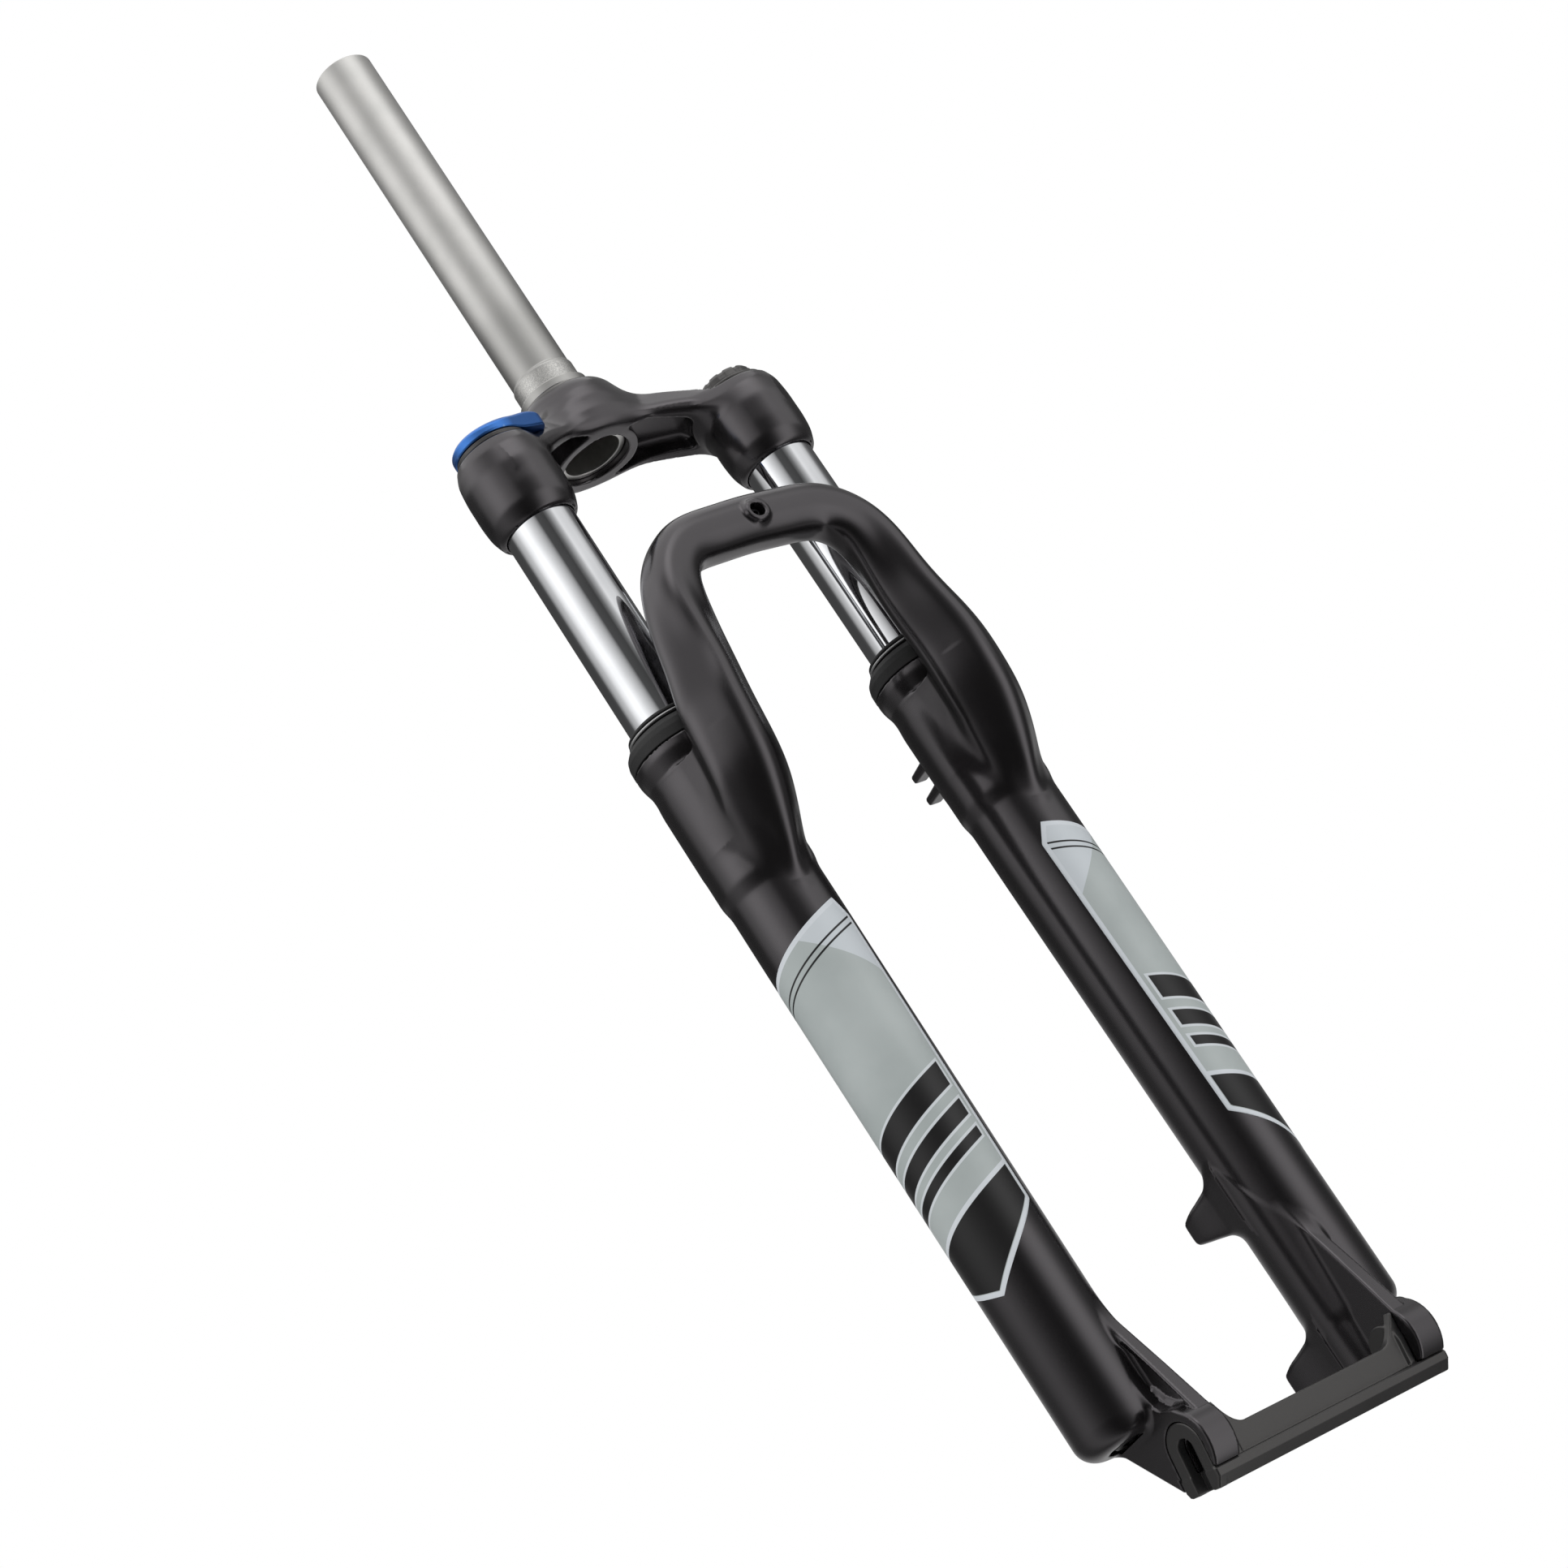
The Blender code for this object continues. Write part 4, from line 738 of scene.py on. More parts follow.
def archField(out, y, z):
    # nearest point of the arch's path by samples and Newton steps, then a rounded section that turns with the path
    out, z = np.broadcast_arrays(out, z)
    close = np.asarray(z) > -310.0
    a, c = out[close], z[close]
    samples = np.linspace(0, archRun[-1], 64)
    path = splineAt(archSpline, samples)[0]
    best, s = np.full(a.shape, 1e12), np.zeros(a.shape)
    for sample, knot in zip(samples, path):  # one pass per sample of the path
        near = (a - knot[0]) ** 2 + (c - knot[2]) ** 2
        s = np.where(near < best, sample, s)
        best = np.minimum(best, near)
    for _ in range(3):
        p, first, second = splineAt(archSpline, s)
        du, dw = p[:, 0] - a, p[:, 2] - c
        bend = first[:, 0] ** 2 + first[:, 2] ** 2 + du * second[:, 0] + dw * second[:, 2]
        step = (du * first[:, 0] + dw * first[:, 2]) / np.maximum(bend, 0.2)
        s = np.clip(s - np.clip(step, -4, 4), 0, archRun[-1])
    t = np.zeros(out.shape)
    t[close] = s
    p, first, _ = splineAt(archSpline, t)
    speed = np.hypot(first[..., 0], first[..., 2])
    alongX, alongZ = first[..., 0] / speed, first[..., 2] / speed
    du, dw, f = out - p[..., 0], z - p[..., 2], y - p[..., 1]
    e, beyond = du * alongZ - dw * alongX, (du * alongX + dw * alongZ) / p[..., 3]
    turn = np.radians(p[..., 5])
    u = np.abs(e * np.cos(turn) - f * np.sin(turn)) / p[..., 3]
    v = np.abs(e * np.sin(turn) + f * np.cos(turn)) / p[..., 4]
    u = np.hypot(u, beyond)
    power = 2.6 + p[..., 5] / 45.0
    q = (u**power + v**power + 1e-6) ** (1 / power)
    slope = q ** (1 - power) * np.hypot(u ** (power - 1) / p[..., 3], v ** (power - 1) / p[..., 4])
    return (q - 1) / np.maximum(slope, 0.04)


def gussetField(out, y, z):
    # tear-drop round the leg and the limb at each height, a little inside both, up to the notch
    g = casting["gusset"]
    limbX, limbY, half = np.moveaxis(splineAt(limbSpline, np.clip(z, -279.0, -205.0))[0], -1, 0)
    du, dv = limbX - legX, limbY - legY
    span = np.hypot(du, dv)
    u = ((out - legX) * du + (y - legY) * dv) / span
    w = np.abs((out - legX) * dv - (y - legY) * du) / span
    inset = g["inset"] + 0.2 * np.maximum(g["fade"] - z, 0)
    drop = tearDrop(u, w, tableAt(legTable, z) - inset, half - inset, span)
    return roundMax(np.maximum(drop, g["end"] - z), z - g["top"], 0.6)


def postField(x, y, z, height):  # rounded section about a line that leaves the leg, cut off square at the brake's face
    root, face = casting["post"][0][0], casting["post"][-1][0]
    middle, rise, wide, tall = np.moveaxis(splineAt(postSpline, np.clip(y, root, face))[0], -1, 0)
    q = (np.abs((x - middle) / wide) ** 5 + np.abs((z - height - rise) / tall) ** 5 + 1e-9) ** 0.2
    return roundMax(np.maximum((q - 1) * np.minimum(wide, tall), root - y), y - face, 0.8)


def castingField(x, y, z):
    # distances of every member blended with fillets, then the slots, pockets and bores taken out
    v = casting
    out = np.abs(x)
    around = np.hypot(out - legX, y - legY)
    leg = roundMax(around - tableAt(legTable, z), v["end"] - z, v["footRound"])
    leg = roundMax(leg, z - v["top"], 0.7)
    arch = archField(out, y, z)
    arch = roundMax(arch, -roundMax(around - v["notchReach"], v["notch"] - z, 1.5), 1.0)
    body = softMin(softMin(leg, arch, tableAt(blendTable, z)), gussetField(out, y, z), 1.8)
    back, down = slotFrame(y, z)
    tips = np.minimum(down - v["tipBelow"], v["tipBehind"] - back)
    inner = np.interp(z, *v["inner"])
    deep = np.clip(-polygonDistance(v["pocket"], y, z) / v["dishRim"], 0, 1)
    floor = v["dishFace"] - 0.2 * np.maximum(-45.0 - y, 0)
    face = v["plateFace"] - (v["plateFace"] - floor) * deep * deep * (3 - 2 * deep)
    outline = polygonDistance(v["web"], y, z)
    web = roundMax(np.maximum(outline, tips), slab(out, inner, face), 1.1)
    lug = roundMin(np.hypot(back, down) - v["lugRound"], polygonDistance(v["lug"], y, z), 4.0)
    lug = roundMax(np.maximum(lug, tips), slab(out, inner, v["lugFace"]), 1.1)
    body = roundMin(body, np.minimum(web, lug), 3.0)
    for height in v["postHeights"]:
        body = roundMin(body, postField(x, y, z, height), 4.0)
    skirt = roundMax(np.maximum(around - v["skirt"], x - v["skirtFace"]), outline, 1.5)
    body = roundMin(body, np.maximum(skirt, -x), 1.5)
    for height in v["guideHeights"]:
        tab = roundMax(np.abs(x - v["guideMiddle"]) - 4.5 + 0.06 * (y + 8),
                       np.abs(z - height) - 2.5 + 0.03 * (y + 8), 1.0)
        body = roundMin(body, np.maximum(roundMax(tab, y - v["guideEnd"], 1.8), -24.0 - y), 2.0)
    aroundBoss = np.hypot(x, z - v["bossHeight"])
    boss = roundMax(aroundBoss - v["boss"], v["bossFront"] - y, 0.9)
    body = roundMin(body, np.maximum(boss, y + 62.0), 2.2)
    body = roundMax(body, -np.maximum(aroundBoss - v["bossHole"], y - v["bossFloor"]), 0.7)
    body = roundMax(body, -np.maximum(keyhole(back, down, v["seat"]), v["seatFace"] - out), 0.5)
    body = roundMax(body, -np.maximum(keyhole(back, down, v["slot"]), 44.0 - out), 0.5)
    for height in v["postHeights"]:
        hole = np.hypot(x - v["postMiddle"], z - height) - v["postHole"]
        body = roundMax(body, -np.maximum(hole, v["postHoleEnd"] - y), 0.5)
    body = np.maximum(body, -np.maximum(around - 25.2, v["top"] + 0.02 - z))
    bore = np.minimum(np.maximum(around - v["sealBore"], v["sealFloor"] - z),
                      roundMax(around - v["bore"], v["boreFloor"] - z, 4.0))
    recess = np.maximum(np.maximum(around - v["recess"], z - v["recessTop"]), v["recessFace"] - out)
    recess = np.maximum(np.minimum(around - v["boltHole"], recess), v["recessFoot"] - z)
    return roundMax(body, -np.minimum(bore, recess), 0.5)


def gradedLines(*runs):  # grid lines whose spacing changes from run to run
    return np.concatenate([np.arange(low, high, step) for low, high, step in runs])


def makeCasting():  # zero surface of the casting's field, on finer lines where the shape is small
    half = gradedLines((0.45, 8, 0.9), (8, 43, 1.7), (43, 68, 0.8), (68, 91, 1.25))
    ys = gradedLines((-77.5, -64, 0.9), (-64, -12, 0.85), (-12, 13, 1.05))
    zs = gradedLines((-574, -486, 0.8), (-486, -446, 1.2), (-446, -290, 5.0), (-290, -196, 1.1), (-196, -110, 1.5))
    lines = (np.concatenate([-half[::-1], half]), ys, zs)
    fieldPiece("lowerCastingShell", castingField, lines, satinPaint, "lowers", ("lower_casting",))


makeCasting()


# Seals, garter springs and foot bolts

def makeSeals():  # lip, spring groove and skirt turned about each leg; the garter is a ring with a fine wound ripple
    corners = [(17.0, -185.0), (18.6, -185.9), (18.8, -186.9), (17.6, -187.3), (17.5, -189.2), (18.9, -189.7),
               (20.8, -190.6), (22.8, -193.0), (23.55, -195.6), (23.65, -200.0), (19.9, -200.0), (19.9, -210.5),
               (16.6, -210.5), (16.3, -186.0)]
    u, v = circle(720)[:, None], circle(10)[None, :]
    wire = 0.74 + 0.06 * np.cos(180 * u + v)
    for name, side in sides.items():
        axis = (side * legX, legY)
        turnedPiece(f"wiperSeal{name}", corners, axis, wiperRubber, "lowers", (f"wiper_seal_{name.lower()}",),
                    0.35, 144)
        ring = 18.5 + wire * np.cos(v)
        points = np.stack([axis[0] + ring * np.cos(u), axis[1] + ring * np.sin(u), -188.3 + wire * np.sin(v)], -1)
        addPiece(f"garterSpring{name}", points.reshape(-1, 3), gridFaces(720, 10, True, True), boltSteel, "lowers",
                 (f"garter_spring_{name.lower()}",))


def makeFootBolts():  # washer and socket bolt in each foot's recess
    for name, side in sides.items():
        axis = (side * legX, legY)
        corners = [(6.7, -528.8), (6.7, -530.4), (4.5, -530.4), (4.5, -528.8)]
        turnedPiece(f"footWasher{name}", corners, axis, blackOxide, "lowers", (f"foot_washer_{name.lower()}",),
                    0.25)
        corners = [(0.01, -492.0), (3.6, -492.0), (4.0, -493.0), (4.0, -530.7), (6.5, -530.7), (6.5, -535.3),
                   (5.8, -536.1), (3.0, -536.1), (2.9, -533.0), (0.01, -533.0)]
        turnedPiece(f"footBolt{name}", corners, axis, blackOxide, "lowers", (f"foot_bolt_{name.lower()}",),
                    0.25, 96, {"corner": 3.1, "facing": -1.0, "floor": 532.0})


makeSeals()
makeFootBolts()


# Transport clip between the dropouts

clip = {"rail": [(-11.2, 9.5), (11.2, 9.5), (12.0, 10.3), (12.0, 15.4), (9.9, 17.5), (-8.6, 17.5), (-12.0, 13.2),
                 (-12.0, 10.3)],
        "railHalf": 63.6, "foot": 13.3, "webHalf": 49.7, "cheek": 9.4, "cheekMiddle": 48.0, "plate": 11.0,
        "plateMiddle": 61.3, "slot": 4.6, "stub": 3.6, "stubMiddle": 53.2, "stubFoot": 15.3, "step": 0.5}


def clipField(x, y, z):
    # rail, web, cheeks and keyhole plates as flat outlines thick along X, measured in the slot's own frame
    v = clip
    back, down = slotFrame(y, z)
    out = np.abs(x)
    rail = roundMax(polygonDistance(v["rail"], back, down), out - v["railHalf"], 1.1)
    lift = 9.6 * np.clip((out - 37.0) / 11.0, 0, 1.08) ** 2.2
    web = roundMax(np.abs(back + 6.3) - 2.1, np.maximum(-1.0 - lift - down, down - v["foot"]), 0.8)
    body = roundMin(rail, np.maximum(web, out - v["webHalf"]), 0.5)
    cheek = np.maximum(keyhole(back, down, v["cheek"]), down - v["foot"])
    body = roundMin(body, roundMax(cheek, np.abs(out - v["cheekMiddle"]) - 1.7, 0.6), 0.8)
    chamfer = np.maximum(down - 17.2, 0.512 * (down - 11.8) - 0.858 * (back + 12.0))
    plate = np.maximum(keyhole(back, down, v["plate"]), chamfer)
    body = roundMin(body, roundMax(plate, np.abs(out - v["plateMiddle"]) - 2.0, 0.7), 0.6)
    slot = np.maximum(keyhole(back, down, v["slot"]), np.maximum(58.3 - out, out - 70.0))
    body = roundMax(body, -slot, 0.7)
    stub = np.maximum(keyhole(back, down, v["stub"]), down - v["stubFoot"])
    return roundMin(body, roundMax(stub, np.abs(out - v["stubMiddle"]) - 4.5, 1.2), 0.6)


def makeClip(v):  # zero surface of the clip's field
    s = v["step"]
    lines = (gridLines(-66, 66, s), gridLines(-68, -34, s), gridLines(-575, -538, s))
    fieldPiece("transportClip", clipField, lines, mouldedPlastic, "spacer", ("transport_spacer",),
               150000)


makeClip(clip)


# Coil spring inside the left stanchion, made here at one length though it shortens with the travel; above it is room
# for the plunger's slide

coil = {"radius": 10.9, "wire": 2.1, "turns": 22, "top": -102.5, "bottom": -336.9, "endPitch": 4.9}


def makeCoil(v):
    # circle of the wire carried along a helix with one closed turn at each end
    turns = np.linspace(0, v["turns"], v["turns"] * 40 + 1)
    ends = np.minimum(turns, 1) + np.maximum(turns - v["turns"] + 1, 0)
    pitch = (v["top"] - v["bottom"] - 2 * v["endPitch"]) / (v["turns"] - 2)
    height = v["bottom"] + v["endPitch"] * ends + pitch * (turns - ends)
    angle, around = (2 * np.pi * turns)[:, None], circle(12)[None, :]
    taper = np.clip(np.minimum(np.arange(len(turns)), np.arange(len(turns))[::-1]), 0, 1)[:, None]
    reach = v["radius"] + v["wire"] * np.cos(around) * taper
    points = np.stack([legX + reach * np.cos(angle), legY + reach * np.sin(angle),
                       height[:, None] + v["wire"] * np.sin(around) * taper], -1)
    piece = addPiece("mainSpringCoil", points.reshape(-1, 3), gridFaces(len(turns), 12, False, True), springWire,
                     "chassis", ("main_spring",), weld=True)
    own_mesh(piece)


makeCoil(coil)


# Screw in the arch boss

def makeBossScrew():  # domed socket screw turned about the boss's axis, which runs forwards
    corners = np.array([(0.01, 1.2), (1.3, 1.2), (1.35, 3.4), (2.3, 3.3), (3.0, 2.4), (3.05, -0.6), (0.01, -0.6)])
    profile = roundedProfile(corners, 0.2)
    points = turnedPoints(profile, (0, 0), 72).reshape(-1, 3)
    angle = np.arctan2(points[:, 1], points[:, 0])
    reach = np.hypot(points[:, 0], points[:, 1])
    hole = (reach < 1.36) & (points[:, 2] > 0.6)
    scale = np.where(hole, hexScale(angle), 1.0)
    placed = np.stack([points[:, 0] * scale, -68.4 - points[:, 2], points[:, 1] * scale + casting["bossHeight"]], 1)
    addPiece("archBossScrew", placed, gridFaces(72, len(profile), True, True), blackOxide, "lowers", (),
             weld=True)


makeBossScrew()


# Printed panels on the outer side of each leg

decal = {"offset": 0.12, "radius": 20.9, "slant": 0.36, "cross": -0.95, "tail": -436.0, "facet": -286.0,
         "bars": ((-386.0, 11.0), (-403.5, 7.5), (-416.5, 4.5)), "lines": ((-316.0, 0.9), (-319.0, 0.9)),
         "outline": [(-41, -291), (29, -317), (34, -330), (34, -446), (27, -452.5), (-9, -466), (-44, -437),
                     (-46, -300)],
         "rough": 0.30, "roughSpread": 0.1, "depth": 0.00003, "bump": 0.3}


def makeDecalMaterial(side, v):
    # tone by distance to the outline for the border, and by two slanted measures of the print's own map for its motifs
    material, tree, shader = newMaterial(f"legPrint{side}")
    edge, slant, cross = (addNode(tree, "ShaderNodeAttribute", attribute_name=label).outputs["Fac"]
                          for label in ("edge", "slant", "cross"))
    grain = useGroup(tree, grainGroup, Fine=1500.0, Slow=30.0)

    def stripe(top, thick):  # 1 between two slanted heights
        return calc(tree, "MULTIPLY", ramp(tree, slant, top + 0.1, top - 0.1),
                    ramp(tree, slant, top - thick - 0.1, top - thick + 0.1))

    def joined(masks):  # largest of several masks
        total = masks[0]
        for mask in masks[1:]:
            total = calc(tree, "MAXIMUM", total, mask)
        return total

    tone = mixColour(tree, grain["Drift"], (0.43, 0.475, 0.47, 1), (0.49, 0.535, 0.53, 1))
    facet = ramp(tree, cross, v["facet"] - 0.1, v["facet"] + 0.1)
    tone = mixColour(tree, facet, tone, (0.64, 0.685, 0.72, 1))
    inner, outer = ramp(tree, edge, 4.9, 5.1), ramp(tree, edge, 3.7, 3.9)
    halo = calc(tree, "MULTIPLY", joined([stripe(top + 1.2, thick + 2.4) for top, thick in v["bars"]]), outer)
    tone = mixColour(tree, halo, tone, (0.70, 0.74, 0.77, 1))
    bars = calc(tree, "MULTIPLY", joined([stripe(*bar) for bar in v["bars"]]), inner)
    lines = calc(tree, "MULTIPLY", joined([stripe(*line) for line in v["lines"]]), ramp(tree, edge, 2.0, 2.2))
    tail = calc(tree, "MULTIPLY", ramp(tree, slant, v["tail"] + 0.1, v["tail"] - 0.1), ramp(tree, edge, 2.3, 2.5))
    join = stripe(v["tail"] + 2.1, 2.1)
    border = calc(tree, "MAXIMUM", ramp(tree, edge, 2.2, 2.0), join)
    tone = mixColour(tree, joined([bars, lines, tail]), tone, (0.011, 0.0105, 0.011, 1))
    tone = mixColour(tree, border, tone, (0.72, 0.76, 0.80, 1))
    linkFinish(tree, shader, tone, grain["Peel"], v)
    return material


def makeDecals(v):
    # flat outline in arc length and height wrapped on the leg; each row spans between the outline's two sides
    corners = np.array(v["outline"], float)
    low, high = corners[:, 1].min() + 0.05, corners[:, 1].max() - 0.05
    rows, cols = 220, 70
    heights = np.linspace(low, high, rows)
    start, end = corners, np.roll(corners, -1, axis=0)
    spans = (heights[:, None] - start[None, :, 1]) / (end - start)[None, :, 1]
    hits = np.where((spans >= 0) & (spans <= 1), start[None, :, 0] + spans * (end - start)[None, :, 0], np.nan)
    left, right = np.nanmin(hits, axis=1), np.nanmax(hits, axis=1)
    share = np.linspace(0, 1, cols)[None, :]
    across = left[:, None] + (right - left)[:, None] * share
    along = np.broadcast_to(heights[:, None], across.shape)
    edge = np.maximum(-polygonDistance(v["outline"], across, along), 0)
    for name, side in sides.items():
        angle = across / v["radius"] * side + (0 if side > 0 else np.pi)
        reach = tableAt(legTable, along) + v["offset"]
        points = np.stack([side * legX + reach * np.cos(angle), legY + reach * np.sin(angle), along], -1).reshape(-1, 3)
        faces = gridFaces(rows, cols, False, False)
        a, b, c = points[faces[0, 0]], points[faces[0, 1]], points[faces[0, 2]]
        outward = np.cross(b - a, c - a) @ (a - np.array([side * legX, legY, a[2]]))
        faces = faces if outward > 0 else faces[:, ::-1]
        piece = addPiece(f"legPrint{name}", points, faces, makeDecalMaterial(name, v), "lowers", (),
                         closed=False)
        for label, values in (("edge", edge), ("slant", along + v["slant"] * across),
                              ("cross", along + v["cross"] * across)):
            layer = piece.data.attributes.new(label, "FLOAT", "POINT")
            layer.data.foreach_set("value", np.ascontiguousarray(values, np.float32).ravel())
        thick = piece.modifiers.new("film", "SOLIDIFY")
        thick.thickness = 0.00008
        thick.offset = -1.0


makeDecals(decal)


# Finishes of the solids that stay as they are inside the legs

keptFinishes = {
    "damper_cartridge": turnedAluminium, "damper_rod_guide": turnedAluminium, "damper_piston": turnedAluminium,
    "lockout_control_rod": turnedAluminium, "compression_rod": turnedAluminium, "damper_rod": boltSteel,
    "preload_screw": boltSteel, "preload_plunger": whiteNylon, "spring_seat": mouldedPlastic,
    "spring_guide_plug": mouldedPlastic, "topout_bumper": yellowElastomer, "bushing_upper_right": bushingBronze,
    "bushing_upper_left": bushingBronze, "bushing_lower_right": bushingBronze, "bushing_lower_left": bushingBronze,
}
for node, material in keptFinishes.items():
    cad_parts[node].data.materials.clear()
    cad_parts[node].data.materials.append(material)
print("inner pieces finished:", len(keptFinishes))


# Stage: floor, a wall of light and dark panels for the reflections, soft lamps and a white world

stage = {"floor": -0.90, "wallRadius": 2.4, "worldFill": 0.62, "steps": ((0.05, 0.42), (1.24, 1.38)),
         "low": [(0, 0.10), (25, 0.42), (52, 0.62), (80, 0.42), (108, 0.12), (132, 0.15), (156, 0.36), (172, 0.42),
                 (190, 0.25), (205, 0.10), (222, 0.015), (242, 0.015), (254, 0.06), (263, 0.20), (273, 0.62),
                 (284, 1.0), (297, 1.08), (309, 0.85), (320, 0.38), (335, 0.12), (360, 0.08)],
         "middle": [(0, 0.10), (60, 0.06), (120, 0.06), (130, 0.08), (144, 0.45), (156, 0.62), (168, 0.98),
                    (180, 1.25), (194, 1.25), (203, 1.02), (212, 0.80), (223, 0.58), (232, 0.37), (240, 0.08),
                    (263, 0.06), (272, 0.17), (285, 0.48), (295, 0.88), (309, 0.80), (322, 0.78), (335, 0.62),
                    (348, 0.20), (360, 0.10)],
         "high": [(0, 0.35), (60, 0.20), (100, 0.30), (130, 0.75), (150, 1.10), (165, 1.15), (180, 0.90),
                  (195, 0.65), (212, 0.42), (225, 0.48), (240, 0.90), (258, 1.45), (275, 1.75), (290, 1.70),
                  (305, 1.30), (320, 0.70), (335, 0.40), (360, 0.35)]}


def addStage(name, points, faces, material):  # mesh in metres that belongs to the studio, not to the object
    mesh = bpy.data.meshes.new(name)
    mesh.from_pydata(points, [], faces)
    mesh.shade_smooth()
    mesh.materials.append(material)
    piece = bpy.data.objects.new(name, mesh)
    bpy.context.scene.collection.objects.link(piece)
    return piece


def makeWorld(v):  # white to the camera, to reflections and through glass; a low even fill to everything else
    world = bpy.data.worlds.new("studioWhite")
    bpy.context.scene.world = world
    world.use_nodes = True
    tree = world.node_tree
    seen = tree.nodes["Background"]
    seen.inputs["Color"].default_value = (1, 1, 1, 1)
    seen.inputs["Strength"].default_value = 1.0
    fill = addNode(tree, "ShaderNodeBackground", {"Color": (1, 1, 1, 1), "Strength": v["worldFill"]})
    path = addNode(tree, "ShaderNodeLightPath").outputs
    direct = calc(tree, "MAXIMUM", path["Is Camera Ray"], path["Is Glossy Ray"])
    direct = calc(tree, "MAXIMUM", direct, path["Is Transmission Ray"])
    mix = addNode(tree, "ShaderNodeMixShader", {0: direct, 1: fill.outputs[0], 2: seen.outputs[0]})
    tree.links.new(mix.outputs[0], tree.nodes["World Output"].inputs["Surface"])


def makeFloor(v):  # round pale floor that fades to white far out
    material, tree, shader = newMaterial("studioFloor")
    shader.inputs["Roughness"].default_value = 0.7
    shader.inputs["Base Color"].default_value = (0.86, 0.86, 0.86, 1)
    place = addNode(tree, "ShaderNodeTexCoord").outputs["Object"]
    flat = addNode(tree, "ShaderNodeVectorMath", {0: place, 1: (1, 1, 0)}, operation="MULTIPLY").outputs[0]
    reach = addNode(tree, "ShaderNodeVectorMath", {0: flat}, operation="LENGTH").outputs["Value"]
    seen = addNode(tree, "ShaderNodeLightPath").outputs["Is Camera Ray"]
    far = calc(tree, "MULTIPLY", ramp(tree, reach, 0.9, 2.2), seen)
    white = addNode(tree, "ShaderNodeEmission", {"Color": (1, 1, 1, 1), "Strength": 1.0})
    mix = addNode(tree, "ShaderNodeMixShader", {0: far, 1: shader.outputs[0], 2: white.outputs[0]})
    tree.links.new(mix.outputs[0], tree.nodes["Material Output"].inputs["Surface"])
    r = np.linspace(0.001, 6.0, 40)[:, None]
    a = circle(96)[None, :]
    points = np.stack([r * np.cos(a), r * np.sin(a), 0 * r + v["floor"] + 0 * a], -1).reshape(-1, 3)
    addStage("studioFloor", points, gridFaces(40, 96, False, True), material)


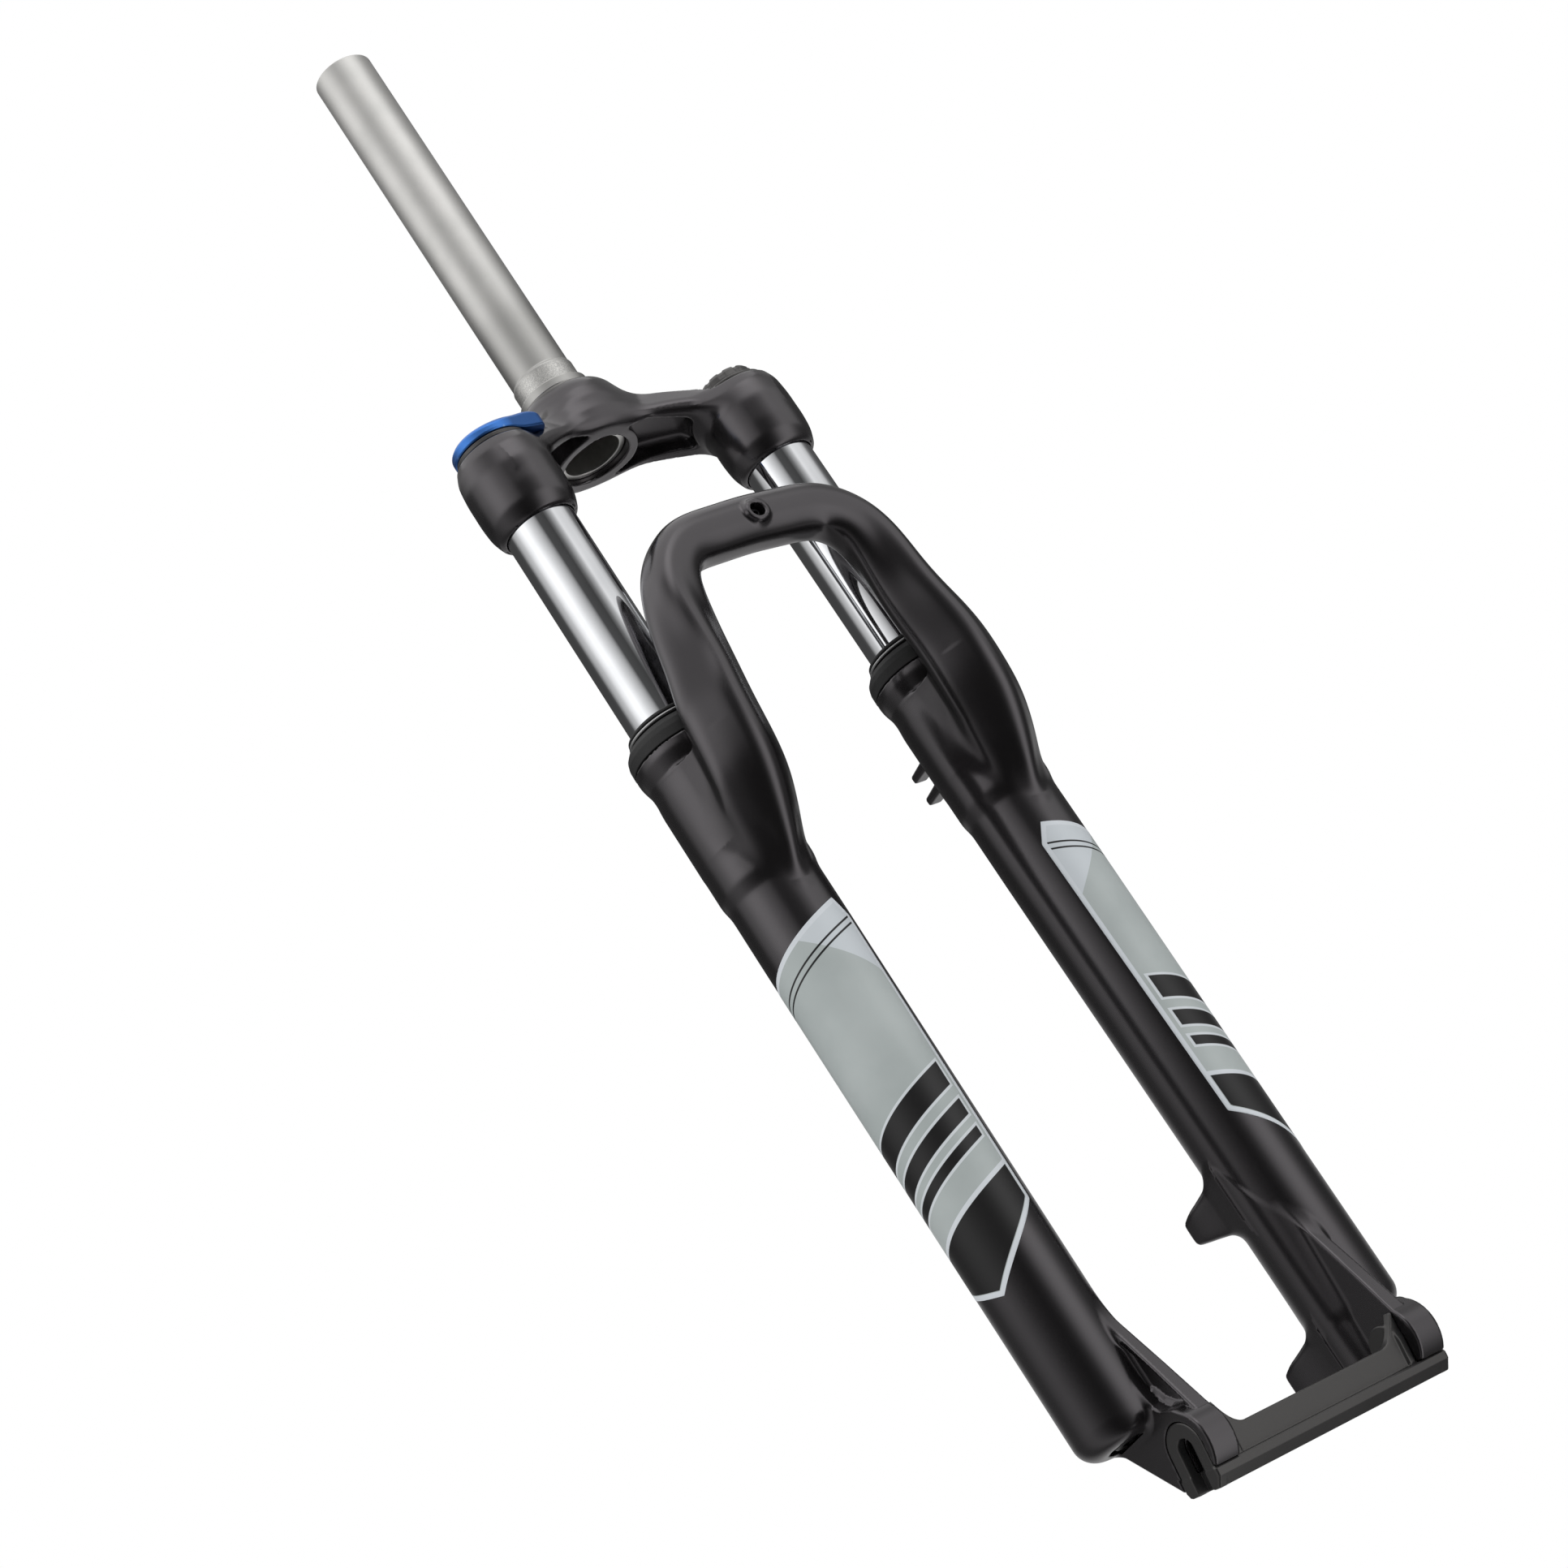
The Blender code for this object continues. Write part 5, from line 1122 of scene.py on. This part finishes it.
def makeWall(v):  # drum that only reflections see; its brightness is a table of bearing at three heights
    material = bpy.data.materials.new("reflectionWall")
    material.use_nodes = True
    tree = material.node_tree
    tree.nodes.remove(tree.nodes["Principled BSDF"])
    place = addNode(tree, "ShaderNodeTexCoord").outputs["Object"]
    axes = addNode(tree, "ShaderNodeSeparateXYZ", {0: place}).outputs
    bearing = calc(tree, "ARCTAN2", axes["Y"], axes["X"])
    turn = calc(tree, "FRACT", calc(tree, "ADD", calc(tree, "DIVIDE", bearing, 2 * math.pi), 1.0))
    shades = []
    for band in ("low", "middle", "high"):
        scale = addNode(tree, "ShaderNodeValToRGB", {0: turn})
        marks = scale.color_ramp.elements
        for i, (angle, light) in enumerate(v[band]):
            mark = marks[i] if i < 2 else marks.new(angle / 360)
            mark.position = angle / 360
            mark.color = (light, light, light, 1)
        shades.append(scale.outputs[0])
    shade = shades[0]
    for (start, end), above in zip(v["steps"], shades[1:]):
        shade = mixColour(tree, ramp(tree, axes["Z"], start, end), shade, above)
    glow = addNode(tree, "ShaderNodeEmission", {"Color": shade, "Strength": 1.0})
    tree.links.new(glow.outputs[0], tree.nodes["Material Output"].inputs["Surface"])
    r = np.concatenate([np.linspace(0.001, 1.0, 12), np.full(20, 1.0)])[:, None] * v["wallRadius"]
    z = np.concatenate([np.full(12, -0.80), np.linspace(-0.78, 2.6, 20)])[:, None]
    a = circle(144)[None, :]
    points = np.stack([r * np.cos(a), r * np.sin(a), z + 0 * a], -1)
    wall = addStage("reflectionWall", points.reshape(-1, 3), gridFaces(32, 144, False, True), material)
    wall.visible_camera = wall.visible_diffuse = wall.visible_shadow = wall.visible_transmission = False


def makeLamp(name, bearing, distance, height, width, tall, radiance, aim=(0.0, -0.03, -0.2)):
    # rectangular soft box; its power is radiance times pi times its area
    lamp = bpy.data.lights.new(name, "AREA")
    lamp.shape = "RECTANGLE"
    lamp.size, lamp.size_y = width, tall
    lamp.energy = radiance * math.pi * width * tall
    holder = bpy.data.objects.new(name, lamp)
    bpy.context.scene.collection.objects.link(holder)
    a = math.radians(bearing)
    holder.visible_glossy = False
    holder.location = (distance * math.cos(a), distance * math.sin(a), height)
    holder.rotation_euler = (holder.location - Vector(aim)).to_track_quat("Z", "Y").to_euler()


makeWorld(stage)
makeFloor(stage)
makeWall(stage)
makeLamp("softBoxRight", 182.0, 1.5, 0.74, 1.1, 1.2, 1.8)
makeLamp("softBoxLeft", 304.0, 1.5, 0.22, 1.0, 1.5, 1.0)
print("stage set")


# Camera found from the photograph's outlines

shot = {"azimuth": -37.596, "elevation": -19.893, "roll": 33.164, "focal": 4536.6, "frame": 1932.0,
        "place": (-908.063, -1165.361, -748.482)}


def makeCamera(v):  # looks along the azimuth and elevation, then turns about its own axis
    a, e, r = (math.radians(v[k]) for k in ("azimuth", "elevation", "roll"))
    back = Vector((math.sin(a) * math.cos(e), -math.cos(a) * math.cos(e), math.sin(e)))
    level = Vector((math.cos(a), math.sin(a), 0.0))
    upright = back.cross(level)
    right = math.cos(r) * level - math.sin(r) * upright
    up = math.sin(r) * level + math.cos(r) * upright
    data = bpy.data.cameras.new("photoView")
    data.sensor_width = 36.0
    data.lens = v["focal"] / v["frame"] * 36.0
    data.clip_start, data.clip_end = 0.01, 100.0
    camera = bpy.data.objects.new("photoView", data)
    bpy.context.scene.collection.objects.link(camera)
    turn = Matrix((right, up, back)).transposed().to_4x4()
    camera.matrix_world = Matrix.Translation(Vector(v["place"]) * mm) @ turn
    bpy.context.scene.camera = camera


makeCamera(shot)
bpy.context.scene.view_settings.view_transform = "Standard"
print("scene ready")
